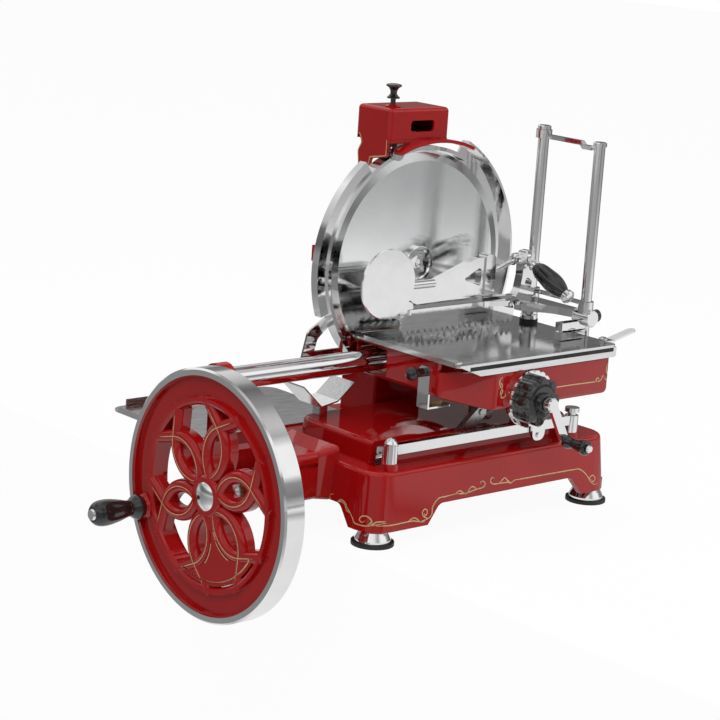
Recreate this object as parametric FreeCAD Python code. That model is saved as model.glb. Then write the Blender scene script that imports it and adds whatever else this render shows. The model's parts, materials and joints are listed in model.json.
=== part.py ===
"""Hand cranked meat slicer with a flywheel, a travelling carriage and a round blade.

Millimetres, +Z up. +X runs to the right along the carriage's travel, +Y runs back towards the blade.
The origin lies on the plane that the four feet stand on, midway between them.
"""
import FreeCAD, Part
import math
import os

V = FreeCAD.Vector
ALONG_X = V(1, 0, 0)
ALONG_Y = V(0, 1, 0)
ALONG_Z = V(0, 0, 1)

# Clearances
RUN_FIT = 0.05          # radial, shafts and screws in their bushes
FREE_GAP = 0.4          # between pieces that move past each other

# Feet
FOOT_X = 170.0
FOOT_Y = 115.0
PAD_R = 24.0
PAD_T = 4.0
DOME_R = 20.5
DOME_TOP_R = 15.0
LEG_Z = 18.7            # underside of the legs
FOOT_STUD_R = 5.0
FOOT_STUD_L = 9.0

# Base casting
BASE_LEFT = -194.0
BASE_RIGHT = 190.0
BASE_DEPTH = 278.0
BATTER = 6.0            # how far the front and back lean in up to the shoulder
CORNER_R = 32.0
SHOULDER_Z = 84.0
WALL = 7.0
ARCH_Z = 40.5           # underside of the arches between the legs
ARCH_R = 12.0
ARCH_LEAN = 18.0
FRONT_ARCH_LEFT = -93.0
FRONT_ARCH_RIGHT = 117.0
END_ARCH_HALF = 82.0
BLOCK_LEFT = -163.0
BLOCK_RIGHT = 148.0
BLOCK_FRONT = -113.0
BLOCK_BACK = 46.0
BLOCK_Z = 108.0
BLOCK_R = 26.0
BLOCK_LEAN = 5.0
EDGE_R = 5.0
BOSS_Z = 91.0
BOSS_R = 9.5
BOSS_TIP_Z = 37.0

# Front rail
RAIL_LEFT = -156.6
RAIL_RIGHT = 127.7
RAIL_Y = -120.0
RAIL_T = 8.0
RAIL_Z = 100.4
RAIL_H = 11.0
RAIL_POST_R = 8.0
NUT_R = 7.5
POST_DEPTH = 12.0       # of each post's stem in its boss

# Main shaft and flywheel
SHAFT_Y = -36.0
SHAFT_Z = 58.0
SHAFT_R = 9.0
WHEEL_X = -345.0        # front plane of the rim
RIM_W = 27.0
RIM_R = 138.0
RIM_T = 8.0
RING_W = 32.0           # radial width of the red ring inside the rim
RING_STEP = 10.0
RING_RECESS = 5.0
WEB_SET_BACK = 2.0
PETALS = 6
PETAL_TURN = 20.0       # degrees, first petal above the wheel's right-hand radius
PETAL_ROOT = 20.0
PETAL_TIP = 80.0
PETAL_HALF = 15.5
RIB_R = 7.5
PETAL_V = 40.0          # length of the legs beyond a petal's tip, before the ring trims them
RIB_DEPTH = 17.0
HUB_R = 24.0
CAP_R = 15.5
FAN_HALF_ANGLE = 43.0
FAN_NECK = 7.0
WHEEL_HUB_L = 30.0
BUSH_WALL = 3.0

# Flywheel handle
HANDLE_RADIUS = 116.0
SPINDLE_R = 4.5
GRIP_L = 62.0
GRIP_GAP = 3.0

# Blade
BLADE_X = 7.0
BLADE_Y = 34.0          # front plane of the blade
BLADE_Z = 272.0
BLADE_R = 132.5
BLADE_FACE_R = 121.0
BLADE_T = 5.0
BEVEL = 3.5
HUB_DISC_R = 21.4
HUB_DISC_T = 5.0
ARBOR_R = 10.0

# Guard round the blade
GUARD_GAP = 1.5
GUARD_T = 4.5
GUARD_FRONT = 30.0
GUARD_DEPTH = 14.0
GUARD_FROM = 62.0       # degrees from +X round the blade's axis, through the left side
GUARD_TO = 300.0
CHEEK_R = BLADE_R + 19.5
CHEEK_FROM = 126.0
CHEEK_TO = 200.0
CHEEK_T = 3.0
SHIELD_R = BLADE_R + 26.5
SHIELD_W = 24.0
SHIELD_Y = 44.5

# Pedestal behind the blade
PED_HALF = 38.0
PED_FRONT = 50.0
PED_BACK = 112.0
PED_WALL = 5.0
HEAD_BOSS_L = 24.0      # of the arbor's bearing

# Drive inside the base
GEAR_TEETH = 20
GEAR_R = 26.0
GEAR_FACE = 9.0
CRANK_R = 28.0
CRANK_DISC_R = 34.0
CRANK_DISC_T = 6.0
SPROCKET_Y = 84.0
SPROCKET_T = 5.0
SPROCKET_R = 30.0
CHAIN_RATIO = 3.0
CHAIN_T = 4.0
CHAIN_W = 7.0

# Swinging lever that moves the carriage
LEVER_X = -105.0
LEVER_Z = 42.0
LEVER_Y = -96.0
LEVER_T = 7.0
LEVER_W = 15.0
LEVER_TIP_X = -1.0
LEVER_TIP_Z = 125.0
LEVER_PIN_R = 4.0
TIP_PIN_R = 3.5
ROD_PIN_UP = 42.0       # along the lever, from its pivot to the connecting rod's pin
ROD_T = 5.0
SLOT_SLACK = 4.5        # either side of the tip pin in the yoke
SLOT_SHIFT = 3.4        # of the slot's middle from the resting pin, towards the pin's excursion
YOKE_GAP = 5.5          # between the lever and the yoke
WEB_T = 10.0
FRONT_WEB_Y = -72.0
REAR_WEB_Y = 56.0

# Guide tube
TUBE_Y = 4.0
TUBE_Z = 172.0
TUBE_R = 12.75
TUBE_LEFT = -305.0
TUBE_RIGHT = 175.0
CLAMP_R = 19.0
CLAMP_W = 17.0

# Side arm
ARM_ROOT_X = -239.0
BARREL_R = 15.0
BARREL_END = -300.0
BRACKET_HALF = 9.0
BRACKET_Z = 70.0
BRACKET_H = 23.0

# Carriage
CAR_LEFT = -85.0
CAR_RIGHT = 161.0
CAR_FRONT = -146.0
CAR_BACK = 30.0
CAR_TOP = 182.5
CAR_BOTTOM = 154.0
CAR_WALL = 5.0
CAR_TRAVEL = 178.0
CORNER_X = 56.0         # of the slanting corner between the left end and the front
CORNER_Y = 34.0
ROLLER_X = 65.0
ROLLER_R = 8.5
ROLLER_W = 9.0

# Feed
FEED_X = 24.0
FEED_RING_DROP = 1.0    # from the table's front lip down to the ring
FEED_R = 6.0
FEED_RING_R = 33.0
FEED_RING_T = 7.0
KNOB_R = 29.0
KNOB_T = 17.0
KNOB_LOBES = 8
CRANK_ARM_X = 24.0      # offset of the grip from the feed screw
CRANK_ARM_Z = -44.0
FEED_GRIP_L = 34.0

RING_NOTCHES = 20
TUBE_WEB_IN = 24.0      # from the carriage's left end to its first web
LATCH_R = 2.5
LATCH_Y = -91.0
LATCH_Z = 179.0
STRIP_Z = 138.0         # underside of the catch's guard strip
STRIP_T = 2.2

# Product table
TABLE_LEFT = -92.0
TABLE_RIGHT = 165.0
TABLE_FRONT = -148.5
TABLE_BACK = 28.0
TABLE_Z = 198.0
TABLE_T = 2.5
TABLE_LIP = 14.5
TRIM_W = 12.0
TRIM_H = 3.0

# Columns and press
COL_X = 155.0
COL_REAR_Y = -12.0
COL_FRONT_Y = -102.0
COL_R = 6.5
COL_TOP = 427.0
COLLAR_R = 10.5
COLLAR_H = 5.0
STOP_H = 6.0            # of the polished stop ring on the rubber buffer
PRESS_Z = 222.0
PRESS_Y = -20.0
PRESS_LEFT = -62.0
HEAD_X = 133.0
HEAD_Z = 280.0
CLAMP_PIVOT_X = 118.0
CLAMP_PIVOT_R = 2.0
EGG_L = 70.0
EGG_R = 11.0
ARM_Z = 229.0           # underside of the press arm
ARM_T = 6.0
EGG_TILT = math.radians(25)
ROD_TILT = math.radians(17)
BLOCK_CENTRE_X = 69.0
BAR_Z = 421.0
BAR_T = 5.0
EYE_H = 10.0
TONGUE_X = 157.0
TONGUE_Y = -132.0
DISC_X = -97.0
DISC_Y = -34.0
DISC_Z = 268.0
DISC_R = 40.0

# Sharpener
SHARP_LEFT = -62.0
SHARP_RIGHT = 30.0
SHARP_FRONT = 20.0
SHARP_BACK = 78.0
SHARP_Z = BLADE_Z + BLADE_R + 16.5
SHARP_TOP = SHARP_Z + 35
SHARP_WALL = 3.0
BRIM_R = BLADE_R + 12.5  # underside of the brim, about the blade's axis

SHARP_KNOB_X = -42.0
SHARP_STEM_Y = 40.0
SHARP_STEM_R = 3.0
SHARP_STROKE = 6.0
SHARP_POST_X = 6.0

# Trays
TRAY_LEFT = -282.0
TRAY_RIGHT = -42.0
TRAY_FRONT = 74.0
TRAY_BACK = 232.0
TRAY_Z = 84.4
TRAY_T = 1.6

# Worked out from the sizes above
RING_R = RIM_R - RIM_T
BUSH_R = SHAFT_R + BUSH_WALL
LEVER_LENGTH = math.hypot(LEVER_TIP_X - LEVER_X, LEVER_TIP_Z - LEVER_Z)
LEVER_REST = math.atan2(LEVER_TIP_X - LEVER_X, LEVER_TIP_Z - LEVER_Z)
LEVER_SWING = LEVER_REST - math.asin((LEVER_TIP_X - CAR_TRAVEL - LEVER_X) / LEVER_LENGTH)
TABLE_UNDER = TABLE_Z - TABLE_T
FEED_Z = TABLE_Z - TABLE_LIP - FEED_RING_DROP - FEED_RING_R
MAIN_WEB_X = BLADE_X - GEAR_R - 26
CRANK_DISC_Y = FRONT_WEB_Y - CRANK_DISC_T - 2
ROD_Y = LEVER_Y + LEVER_T / 2 + 1
YOKE_Y = LEVER_Y + LEVER_T / 2 + YOKE_GAP
YOKE_T = ROD_T
SLOT_X = LEVER_TIP_X + SLOT_SHIFT
YOKE_HALF = TIP_PIN_R + SLOT_SLACK + 4
ROLLER_Z = RAIL_Z + RAIL_H + ROLLER_R + FREE_GAP / 2
RUNNER_Z = TABLE_UNDER - FREE_GAP


# Shared forms -------------------------------------------------------------------------------------------

def block(x0, x1, y0, y1, z0, z1):
    return Part.makeBox(x1 - x0, y1 - y0, z1 - z0, V(x0, y0, z0))


def rod(radius, start, length, direction=ALONG_X):
    return Part.makeCylinder(radius, length, start, direction)


def ring(outer, inner, start, length, direction=ALONG_X):
    return rod(outer, start, length, direction).cut(rod(inner, start, length, direction))


def fuse(shapes):
    whole = shapes[0]
    for shape in shapes[1:]:
        whole = whole.fuse(shape)
    return whole.removeSplitter()


def cut(shape, tools):
    for tool in tools:
        shape = shape.cut(tool)
    return shape


def rounded_wire(points):
    """A closed wire through 3-D points, each (point, radius), with its corners rounded by arcs."""
    count = len(points)
    corners = []
    for index, (point, radius) in enumerate(points):
        before = points[index - 1][0]
        after = points[(index + 1) % count][0]
        if radius <= 0:
            corners.append((point, None, point))
            continue
        back = (before - point).normalize()
        ahead = (after - point).normalize()
        half = back.getAngle(ahead) / 2
        reach = radius / math.tan(half)
        middle = (back + ahead).normalize()
        apex = point + middle * (radius / math.sin(half) - radius)
        corners.append((point + back * reach, apex, point + ahead * reach))
    edges = []
    for index, (start, apex, end) in enumerate(corners):
        if apex:
            edges.append(Part.Arc(start, apex, end).toShape())
        following = corners[(index + 1) % count][0]
        if end.distanceToPoint(following) > 1e-6:
            edges.append(Part.LineSegment(end, following).toShape())
    return Part.Wire(edges)


def plate(points, extrusion):
    """A flat piece: its rounded outline, extruded."""
    return Part.Face(rounded_wire(points)).extrude(extrusion)


def rounded_rect(x0, x1, y0, y1, z, radius):
    corners = [V(x0, y0, z), V(x1, y0, z), V(x1, y1, z), V(x0, y1, z)]
    return rounded_wire([(corner, radius) for corner in corners])


def tapered_block(x0, x1, y0, y1, z0, z1, radius, lean):
    """A cast block whose sides lean in towards its top."""
    foot = rounded_rect(x0, x1, y0, y1, z0, radius)
    top = rounded_rect(x0 + lean, x1 - lean, y0 + lean, y1 - lean, z1, radius - lean / 2)
    return Part.makeLoft([foot, top], True, True)


def edges_at(shape, height):
    return [edge for edge in shape.Edges
            if all(abs(vertex.Point.z - height) < 1e-4 for vertex in edge.Vertexes)]


def turned(profile, start, direction):
    """A turned piece: (distance along the axis, radius) pairs, revolved about the axis through start."""
    first, last = profile[0], profile[-1]
    points = [V(first[0], 0, 0)] + [V(a, r, 0) for a, r in profile] + [V(last[0], 0, 0)]
    clean = [points[0]]
    for point in points[1:]:
        if point.distanceToPoint(clean[-1]) > 1e-6:
            clean.append(point)
    face = Part.Face(Part.makePolygon(clean + [clean[0]]))
    solid = face.revolve(V(0, 0, 0), ALONG_X, 360)
    turn = FreeCAD.Rotation(ALONG_X, direction)
    solid.Placement = FreeCAD.Placement(start, turn)
    return solid


def turned_smooth(points, start, direction):
    """A turned piece whose outline is one smooth curve through (distance, radius) pairs."""
    curve = Part.BSplineCurve()
    curve.interpolate([V(a, r, 0) for a, r in points])
    first, last = points[0], points[-1]
    edges = [curve.toShape()]
    if last[1] > 1e-6:
        edges.append(Part.LineSegment(V(last[0], last[1], 0), V(last[0], 0, 0)).toShape())
    edges.append(Part.LineSegment(V(last[0], 0, 0), V(first[0], 0, 0)).toShape())
    if first[1] > 1e-6:
        edges.append(Part.LineSegment(V(first[0], 0, 0), V(first[0], first[1], 0)).toShape())
    solid = Part.Face(Part.Wire(edges)).revolve(V(0, 0, 0), ALONG_X, 360)
    solid.Placement = FreeCAD.Placement(start, FreeCAD.Rotation(ALONG_X, direction))
    return solid


def sector(outer, inner, start_deg, end_deg, y, depth, x=BLADE_X, z=BLADE_Z):
    """Part of a ring about an axis along Y, from start_deg to end_deg, anticlockwise seen from the front."""
    def at(radius, degrees):
        angle = math.radians(degrees)
        return V(x + radius * math.cos(angle), y, z + radius * math.sin(angle))
    middle = (start_deg + end_deg) / 2
    edges = [
        Part.Arc(at(outer, start_deg), at(outer, middle), at(outer, end_deg)).toShape(),
        Part.LineSegment(at(outer, end_deg), at(inner, end_deg)).toShape(),
        Part.Arc(at(inner, end_deg), at(inner, middle), at(inner, start_deg)).toShape(),
        Part.LineSegment(at(inner, start_deg), at(outer, start_deg)).toShape(),
    ]
    return Part.Face(Part.Wire(edges)).extrude(V(0, depth, 0))


# Base ---------------------------------------------------------------------------------------------------

def base_shell(inset):
    """The plinth and the raised block, drawn in by inset on every side; inset 0 is the outer skin."""
    half = BASE_DEPTH / 2 - inset
    plinth = tapered_block(BASE_LEFT + inset, BASE_RIGHT - inset, -half, half,
                           LEG_Z - inset, SHOULDER_Z - inset, CORNER_R - inset, BATTER)
    upper = tapered_block(BLOCK_LEFT + inset, BLOCK_RIGHT - inset, BLOCK_FRONT + inset, BLOCK_BACK - inset,
                          LEG_Z + WALL, BLOCK_Z - inset, BLOCK_R - inset, BLOCK_LEAN)
    if inset == 0:
        plinth = plinth.makeFillet(EDGE_R, edges_at(plinth, SHOULDER_Z))
        upper = upper.makeFillet(EDGE_R, edges_at(upper, BLOCK_Z))
    return plinth.fuse(upper)


def arch(along, low, high, half_span):
    """A cutter for the arch between two legs; it leans outwards down to the legs' feet."""
    below = LEG_Z - WALL
    lean = ARCH_LEAN * (ARCH_Z - below) / (ARCH_Z - LEG_Z)
    if along == "y":
        points = [(V(low - lean, -half_span, below), 0), (V(low, -half_span, ARCH_Z), ARCH_R),
                  (V(high, -half_span, ARCH_Z), ARCH_R), (V(high + lean, -half_span, below), 0)]
        return plate(points, V(0, 2 * half_span, 0))
    points = [(V(-half_span, low - lean, below), 0), (V(-half_span, low, ARCH_Z), ARCH_R),
              (V(-half_span, high, ARCH_Z), ARCH_R), (V(-half_span, high + lean, below), 0)]
    return plate(points, V(2 * half_span, 0, 0))


def rail_boss(x):
    """The half cone on the front wall that carries a rail post."""
    tip_y = -BASE_DEPTH / 2 + BATTER / 2 + 2
    top = Part.Wire(Part.makeCircle(BOSS_R, V(x, RAIL_Y, BOSS_Z)))
    tip = Part.Wire(Part.makeCircle(BOSS_R / 6, V(x, tip_y, BOSS_TIP_Z)))
    return Part.makeLoft([top, tip], True, True)


def foot_places():
    return [(x, y) for x in (-FOOT_X, FOOT_X) for y in (-FOOT_Y, FOOT_Y)]


def lever_slot():
    """The slot in the top of the base that the lever swings through."""
    high = BLOCK_Z - LEVER_Z
    right = LEVER_X + high * math.tan(LEVER_REST) + LEVER_W
    left = LEVER_X - high * math.tan(LEVER_SWING - LEVER_REST) - LEVER_W
    side = LEVER_T / 2 + 2
    return block(left, right, LEVER_Y - side, LEVER_Y + side, SHOULDER_Z - WALL, BLOCK_Z + 1)


def base_casting():
    shell = base_shell(0)
    for x in (RAIL_LEFT, RAIL_RIGHT):
        shell = shell.fuse(rail_boss(x))
    shell = shell.cut(base_shell(WALL))
    pads = [rod(DOME_TOP_R + 3, V(x, y, LEG_Z), WALL + 3, ALONG_Z) for x, y in foot_places()]
    shell = fuse([shell] + pads + [lever_bearing(), tube_post()] + cross_bearings())
    cutters = [arch("y", FRONT_ARCH_LEFT, FRONT_ARCH_RIGHT, BASE_DEPTH),
               arch("x", -END_ARCH_HALF, END_ARCH_HALF, 2 * FOOT_X),
               lever_slot(),
               rod(BUSH_R, V(BASE_LEFT - 5, SHAFT_Y, SHAFT_Z), 60),
               pedestal_mouth()]
    cutters += [rod(FOOT_STUD_R, V(x, y, 0), LEG_Z + FOOT_STUD_L, ALONG_Z) for x, y in foot_places()]
    cutters += [rod(BUSH_R, V(BLADE_X, y, SHAFT_Z), WEB_T, ALONG_Y)
                 for y in (FRONT_WEB_Y, REAR_WEB_Y)]
    cutters += [rod(RAIL_POST_R / 2, V(x, RAIL_Y, BOSS_Z - POST_DEPTH), POST_DEPTH, ALONG_Z)
                for x in (RAIL_LEFT, RAIL_RIGHT)]
    cutters += [rod(BUSH_R, V(MAIN_WEB_X, SHAFT_Y, SHAFT_Z), WEB_T), lever_pin()]
    return cut(shell, cutters)


def foot_domes():
    """Four chromed feet that narrow to the legs, each with the stud that screws it in."""
    domes = []
    for x, y in foot_places():
        dome = turned([(PAD_T, DOME_R), (PAD_T + 3, DOME_R), (PAD_T + 9, DOME_R - 3), (LEG_Z, DOME_TOP_R)],
                      V(x, y, 0), ALONG_Z)
        domes.append(dome.fuse(rod(FOOT_STUD_R, V(x, y, LEG_Z - 1), FOOT_STUD_L, ALONG_Z)))
    return Part.makeCompound(domes)


def foot_pads():
    return Part.makeCompound([rod(PAD_R, V(x, y, 0), PAD_T, ALONG_Z) for x, y in foot_places()])


def lever_bearing():
    """A boss inside the front wall that carries the lever's pin."""
    wall = -BASE_DEPTH / 2 + WALL - 1
    face = LEVER_Y - LEVER_T / 2 - 1
    return rod(LEVER_PIN_R + 6, V(LEVER_X, wall, LEVER_Z), face - wall, ALONG_Y)


def cross_bearings():
    """Two webs that hang from the roof and carry the cross shaft, and one for the main shaft's end."""
    webs = []
    for y, roof in ((FRONT_WEB_Y, BLOCK_Z), (REAR_WEB_Y, SHOULDER_Z)):
        webs.append(rod(BUSH_R + 5, V(BLADE_X, y, SHAFT_Z), WEB_T, ALONG_Y))
        webs.append(block(BLADE_X - BUSH_R - 3, BLADE_X + BUSH_R + 3, y, y + WEB_T, SHAFT_Z, roof - WALL + 1))
    x = MAIN_WEB_X
    webs.append(rod(BUSH_R + 5, V(x, SHAFT_Y, SHAFT_Z), WEB_T))
    webs.append(block(x, x + WEB_T, SHAFT_Y - BUSH_R - 3, SHAFT_Y + BUSH_R + 3, SHAFT_Z, BLOCK_Z - WALL + 1))
    return webs


def pedestal_mouth():
    """The opening in the plinth's roof that the chain passes through."""
    half = SPROCKET_R + CHAIN_T + 3
    return block(BLADE_X - half, BLADE_X + half, SPROCKET_Y - 8, SPROCKET_Y + 8, SHOULDER_Z - WALL - 1,
                 SHOULDER_Z + 1)


def rail_posts():
    """The two posts on their bosses, with a dome nut on the left one and a flat round cap on the right one."""
    top = RAIL_Z + RAIL_H
    inner = RAIL_POST_R / 2
    posts = []
    for x in (RAIL_LEFT, RAIL_RIGHT):
        collar = rod(RAIL_POST_R, V(x, RAIL_Y, BOSS_Z), RAIL_Z - BOSS_Z, ALONG_Z)
        posts.append(collar.fuse(rod(inner, V(x, RAIL_Y, BOSS_Z - POST_DEPTH), POST_DEPTH + top - BOSS_Z, ALONG_Z)))
    dome = turned([(0, NUT_R), (2, NUT_R), (5, NUT_R - 1.5), (7.5, NUT_R - 4), (8.5, 0.5)],
                  V(RAIL_LEFT, RAIL_Y, top), ALONG_Z)
    cap = turned([(0, inner + 1), (4, inner + 1), (4, NUT_R + 1), (9, NUT_R + 1)],
                 V(RAIL_RIGHT, RAIL_Y, top), ALONG_Z)
    return Part.makeCompound([fuse([posts[0], dome]), fuse([posts[1], cap])])


def rail_bar():
    """The flat bar that the carriage's roller runs on, with an eye on each post."""
    y0, y1 = RAIL_Y - RAIL_T / 2, RAIL_Y + RAIL_T / 2
    bar = block(RAIL_LEFT, RAIL_RIGHT, y0, y1, RAIL_Z, RAIL_Z + RAIL_H)
    eyes = [rod(RAIL_POST_R, V(x, RAIL_Y, RAIL_Z), RAIL_H, ALONG_Z) for x in (RAIL_LEFT, RAIL_RIGHT)]
    holes = [rod(RAIL_POST_R / 2, V(x, RAIL_Y, RAIL_Z), RAIL_H, ALONG_Z) for x in (RAIL_LEFT, RAIL_RIGHT)]
    return cut(fuse([bar] + eyes), holes)


def side_arm():
    """The casting on the base's left end: the shaft's barrel, and a bracket that rises to the guide tube."""
    z0, z1 = 41.0, 94.0
    y0, y1 = -61.0, TUBE_Y + BRACKET_HALF
    flare = 6.0

    def section(x, grow):
        corners = [V(x, y0 - grow, z0 - grow / 2), V(x, y1 + grow, z0 - grow / 2),
                   V(x, y1 + grow, z1 + grow), V(x, y0 - grow, z1 + grow)]
        return rounded_wire([(corner, 5) for corner in corners])
    root = Part.makeLoft([section(BASE_LEFT - 14, 0), section(BASE_LEFT + 10, flare)], True, True)
    neck = plate([(V(ARM_ROOT_X, y0, z0), 6), (V(ARM_ROOT_X, y1, z0), 6), (V(ARM_ROOT_X, y1, z1), 6),
                  (V(ARM_ROOT_X, y0, z1), 6)], V(BASE_LEFT - 14 - ARM_ROOT_X, 0, 0))
    step = block(ARM_ROOT_X - 1, BASE_LEFT - 12, y0 - 1, y0 + 3, z1 - 16, z1 - 11)
    barrel = turned([(0, BARREL_R - 2), (2, BARREL_R), (44, BARREL_R), (62, BARREL_R + 5)],
                    V(BARREL_END, SHAFT_Y, SHAFT_Z), ALONG_X)
    upright_x0 = TUBE_LEFT - 2
    upright_x1 = TUBE_LEFT + CLAMP_W - 2
    yb0, yb1 = TUBE_Y - BRACKET_HALF, TUBE_Y + BRACKET_HALF
    arm_points = [(V(ARM_ROOT_X + 4, yb0, BRACKET_Z), 0), (V(ARM_ROOT_X + 4, yb0, BRACKET_Z + BRACKET_H), 0),
                  (V(upright_x1, yb0, BRACKET_Z + BRACKET_H), 10), (V(upright_x1, yb0, TUBE_Z - 4), 0),
                  (V(upright_x0, yb0, TUBE_Z - 4), 0), (V(upright_x0, yb0, BRACKET_Z), 16)]
    bracket = plate(arm_points, V(0, yb1 - yb0, 0))
    clamp = rod(CLAMP_R, V(upright_x0, TUBE_Y, TUBE_Z), CLAMP_W)
    casting = fuse([root, neck.cut(step), barrel, bracket, clamp])
    bore = rod(BUSH_R, V(BARREL_END - 1, SHAFT_Y, SHAFT_Z), BASE_LEFT - BARREL_END + 20)
    seat = rod(TUBE_R, V(TUBE_LEFT, TUBE_Y, TUBE_Z), CLAMP_W)
    return cut(casting, [bore, seat, base_shell(0)])


def tube_post():
    """The post cast on the base that carries the tube's right-hand end."""
    half = BRACKET_HALF
    x1 = TUBE_RIGHT
    x0 = x1 - 13
    head = rod(CLAMP_R - 2, V(x0, TUBE_Y, TUBE_Z), x1 - x0)
    low = SHOULDER_Z - 3
    post = block(x0, x1, TUBE_Y - half, TUBE_Y + half, low, TUBE_Z)
    foot = block(x0 - 3, x1 + 3, TUBE_Y - half - 5, TUBE_Y + half + 5, low, SHOULDER_Z + 7)
    return fuse([head, post, foot]).cut(rod(TUBE_R, V(x0 - 1, TUBE_Y, TUBE_Z), x1 - x0 + 2))


def shaft_bushes():
    """The bronze bushes of the main shaft, the cross shaft and the blade's arbor."""
    main = [(BARREL_END, 25), (BASE_LEFT - 12, 26), (MAIN_WEB_X, WEB_T)]
    bushes = [ring(BUSH_R, SHAFT_R + RUN_FIT, V(x, SHAFT_Y, SHAFT_Z), length) for x, length in main]
    bushes += [ring(BUSH_R, SHAFT_R + RUN_FIT, V(BLADE_X, y, SHAFT_Z), WEB_T, ALONG_Y)
               for y in (FRONT_WEB_Y, REAR_WEB_Y)]
    bushes.append(ring(ARBOR_R + BUSH_WALL, ARBOR_R + RUN_FIT, V(BLADE_X, PED_FRONT, BLADE_Z), HEAD_BOSS_L, ALONG_Y))
    return Part.makeCompound(bushes)


# Flywheel -----------------------------------------------------------------------------------------------

def wheel_point(radius, degrees, x=0.0):
    """A point of the wheel: degrees run anticlockwise as seen from its front, from the right-hand radius."""
    angle = math.radians(degrees)
    return V(WHEEL_X + x, SHAFT_Y - radius * math.cos(angle), SHAFT_Z + radius * math.sin(angle))


def rib_section(centre, outward):
    """The ribs' section: flat at the back, half round at the front, square to the rib's path."""
    front = centre + V(-(RIB_DEPTH - RIB_R), 0, 0)
    back = centre
    side = outward * RIB_R
    edges = [Part.LineSegment(back + side, front + side).toShape(),
             Part.Arc(front + side, front + V(-RIB_R, 0, 0), front - side).toShape(),
             Part.LineSegment(front - side, back - side).toShape(),
             Part.LineSegment(back - side, back + side).toShape()]
    return Part.Face(Part.Wire(edges))


def petal(turn):
    """Two arched ribs that meet at the root and cross at the tip, then run on to the ring as a V."""
    half_chord = (PETAL_TIP - PETAL_ROOT) / 2
    bow = (half_chord ** 2 + PETAL_HALF ** 2) / (2 * PETAL_HALF)
    spread = math.degrees(math.asin(half_chord / bow))
    back = RIB_DEPTH + WEB_SET_BACK
    pieces = []
    for side in (1, -1):
        along = wheel_point(1, turn) - wheel_point(0, turn)
        across = (wheel_point(1, turn + 90) - wheel_point(0, turn)) * side
        axis_point = wheel_point(0, 0, back) + along * (PETAL_ROOT + half_chord) + across * (PETAL_HALF - bow)
        start = wheel_point(0, 0, back) + along * PETAL_ROOT
        outward = (start - axis_point).normalize()
        axis = outward.cross(along)
        arc = rib_section(start, outward).revolve(axis_point, axis, 2 * spread)
        tip = wheel_point(0, 0, back) + along * PETAL_TIP
        tip_out = (tip - axis_point).normalize()
        heading = (along * math.cos(math.radians(spread)) - across * math.sin(math.radians(spread)))
        leg = rib_section(tip, tip_out).extrude(heading * PETAL_V)
        pieces += [arc, leg]
    reach = RING_R - RING_W + RING_STEP
    return fuse(pieces).common(rod(reach, wheel_point(0, 0, -RIM_W), 3 * RIM_W))


def fan_outline(inset):
    """The counterweight panel: a narrow neck that flares along two hollow arcs to a curved foot."""
    turn = PETAL_TURN - 90
    reach = RING_R - RING_W - 1 - inset
    along = wheel_point(1, turn) - wheel_point(0, turn)
    across = wheel_point(1, turn + 90) - wheel_point(0, turn)
    origin = wheel_point(0, 0)
    half = math.radians(FAN_HALF_ANGLE - inset / 2)
    neck = FAN_NECK - inset
    root = HUB_R - 4 if inset == 0 else HUB_R + 12
    corner_u, corner_v = reach * math.cos(half), reach * math.sin(half)
    start_u = HUB_R + 10
    flare = ((corner_u - start_u) ** 2 + (corner_v - neck) ** 2) / (2 * (corner_v - neck))
    swing = math.atan2(corner_u - start_u, flare - (corner_v - neck)) / 2

    def at(u, v):
        return origin + along * u + across * v

    def flare_point(side, angle):
        return at(start_u + flare * math.sin(angle), side * (neck + flare - flare * math.cos(angle)))
    edges = [Part.LineSegment(at(root, -neck), at(start_u, -neck)).toShape(),
             Part.Arc(at(start_u, -neck), flare_point(-1, swing), at(corner_u, -corner_v)).toShape(),
             Part.Arc(at(corner_u, -corner_v), at(reach, 0), at(corner_u, corner_v)).toShape(),
             Part.Arc(at(corner_u, corner_v), flare_point(1, swing), at(start_u, neck)).toShape(),
             Part.LineSegment(at(start_u, neck), at(root, neck)).toShape(),
             Part.LineSegment(at(root, neck), at(root, -neck)).toShape()]
    return Part.Face(Part.Wire(edges))


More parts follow.
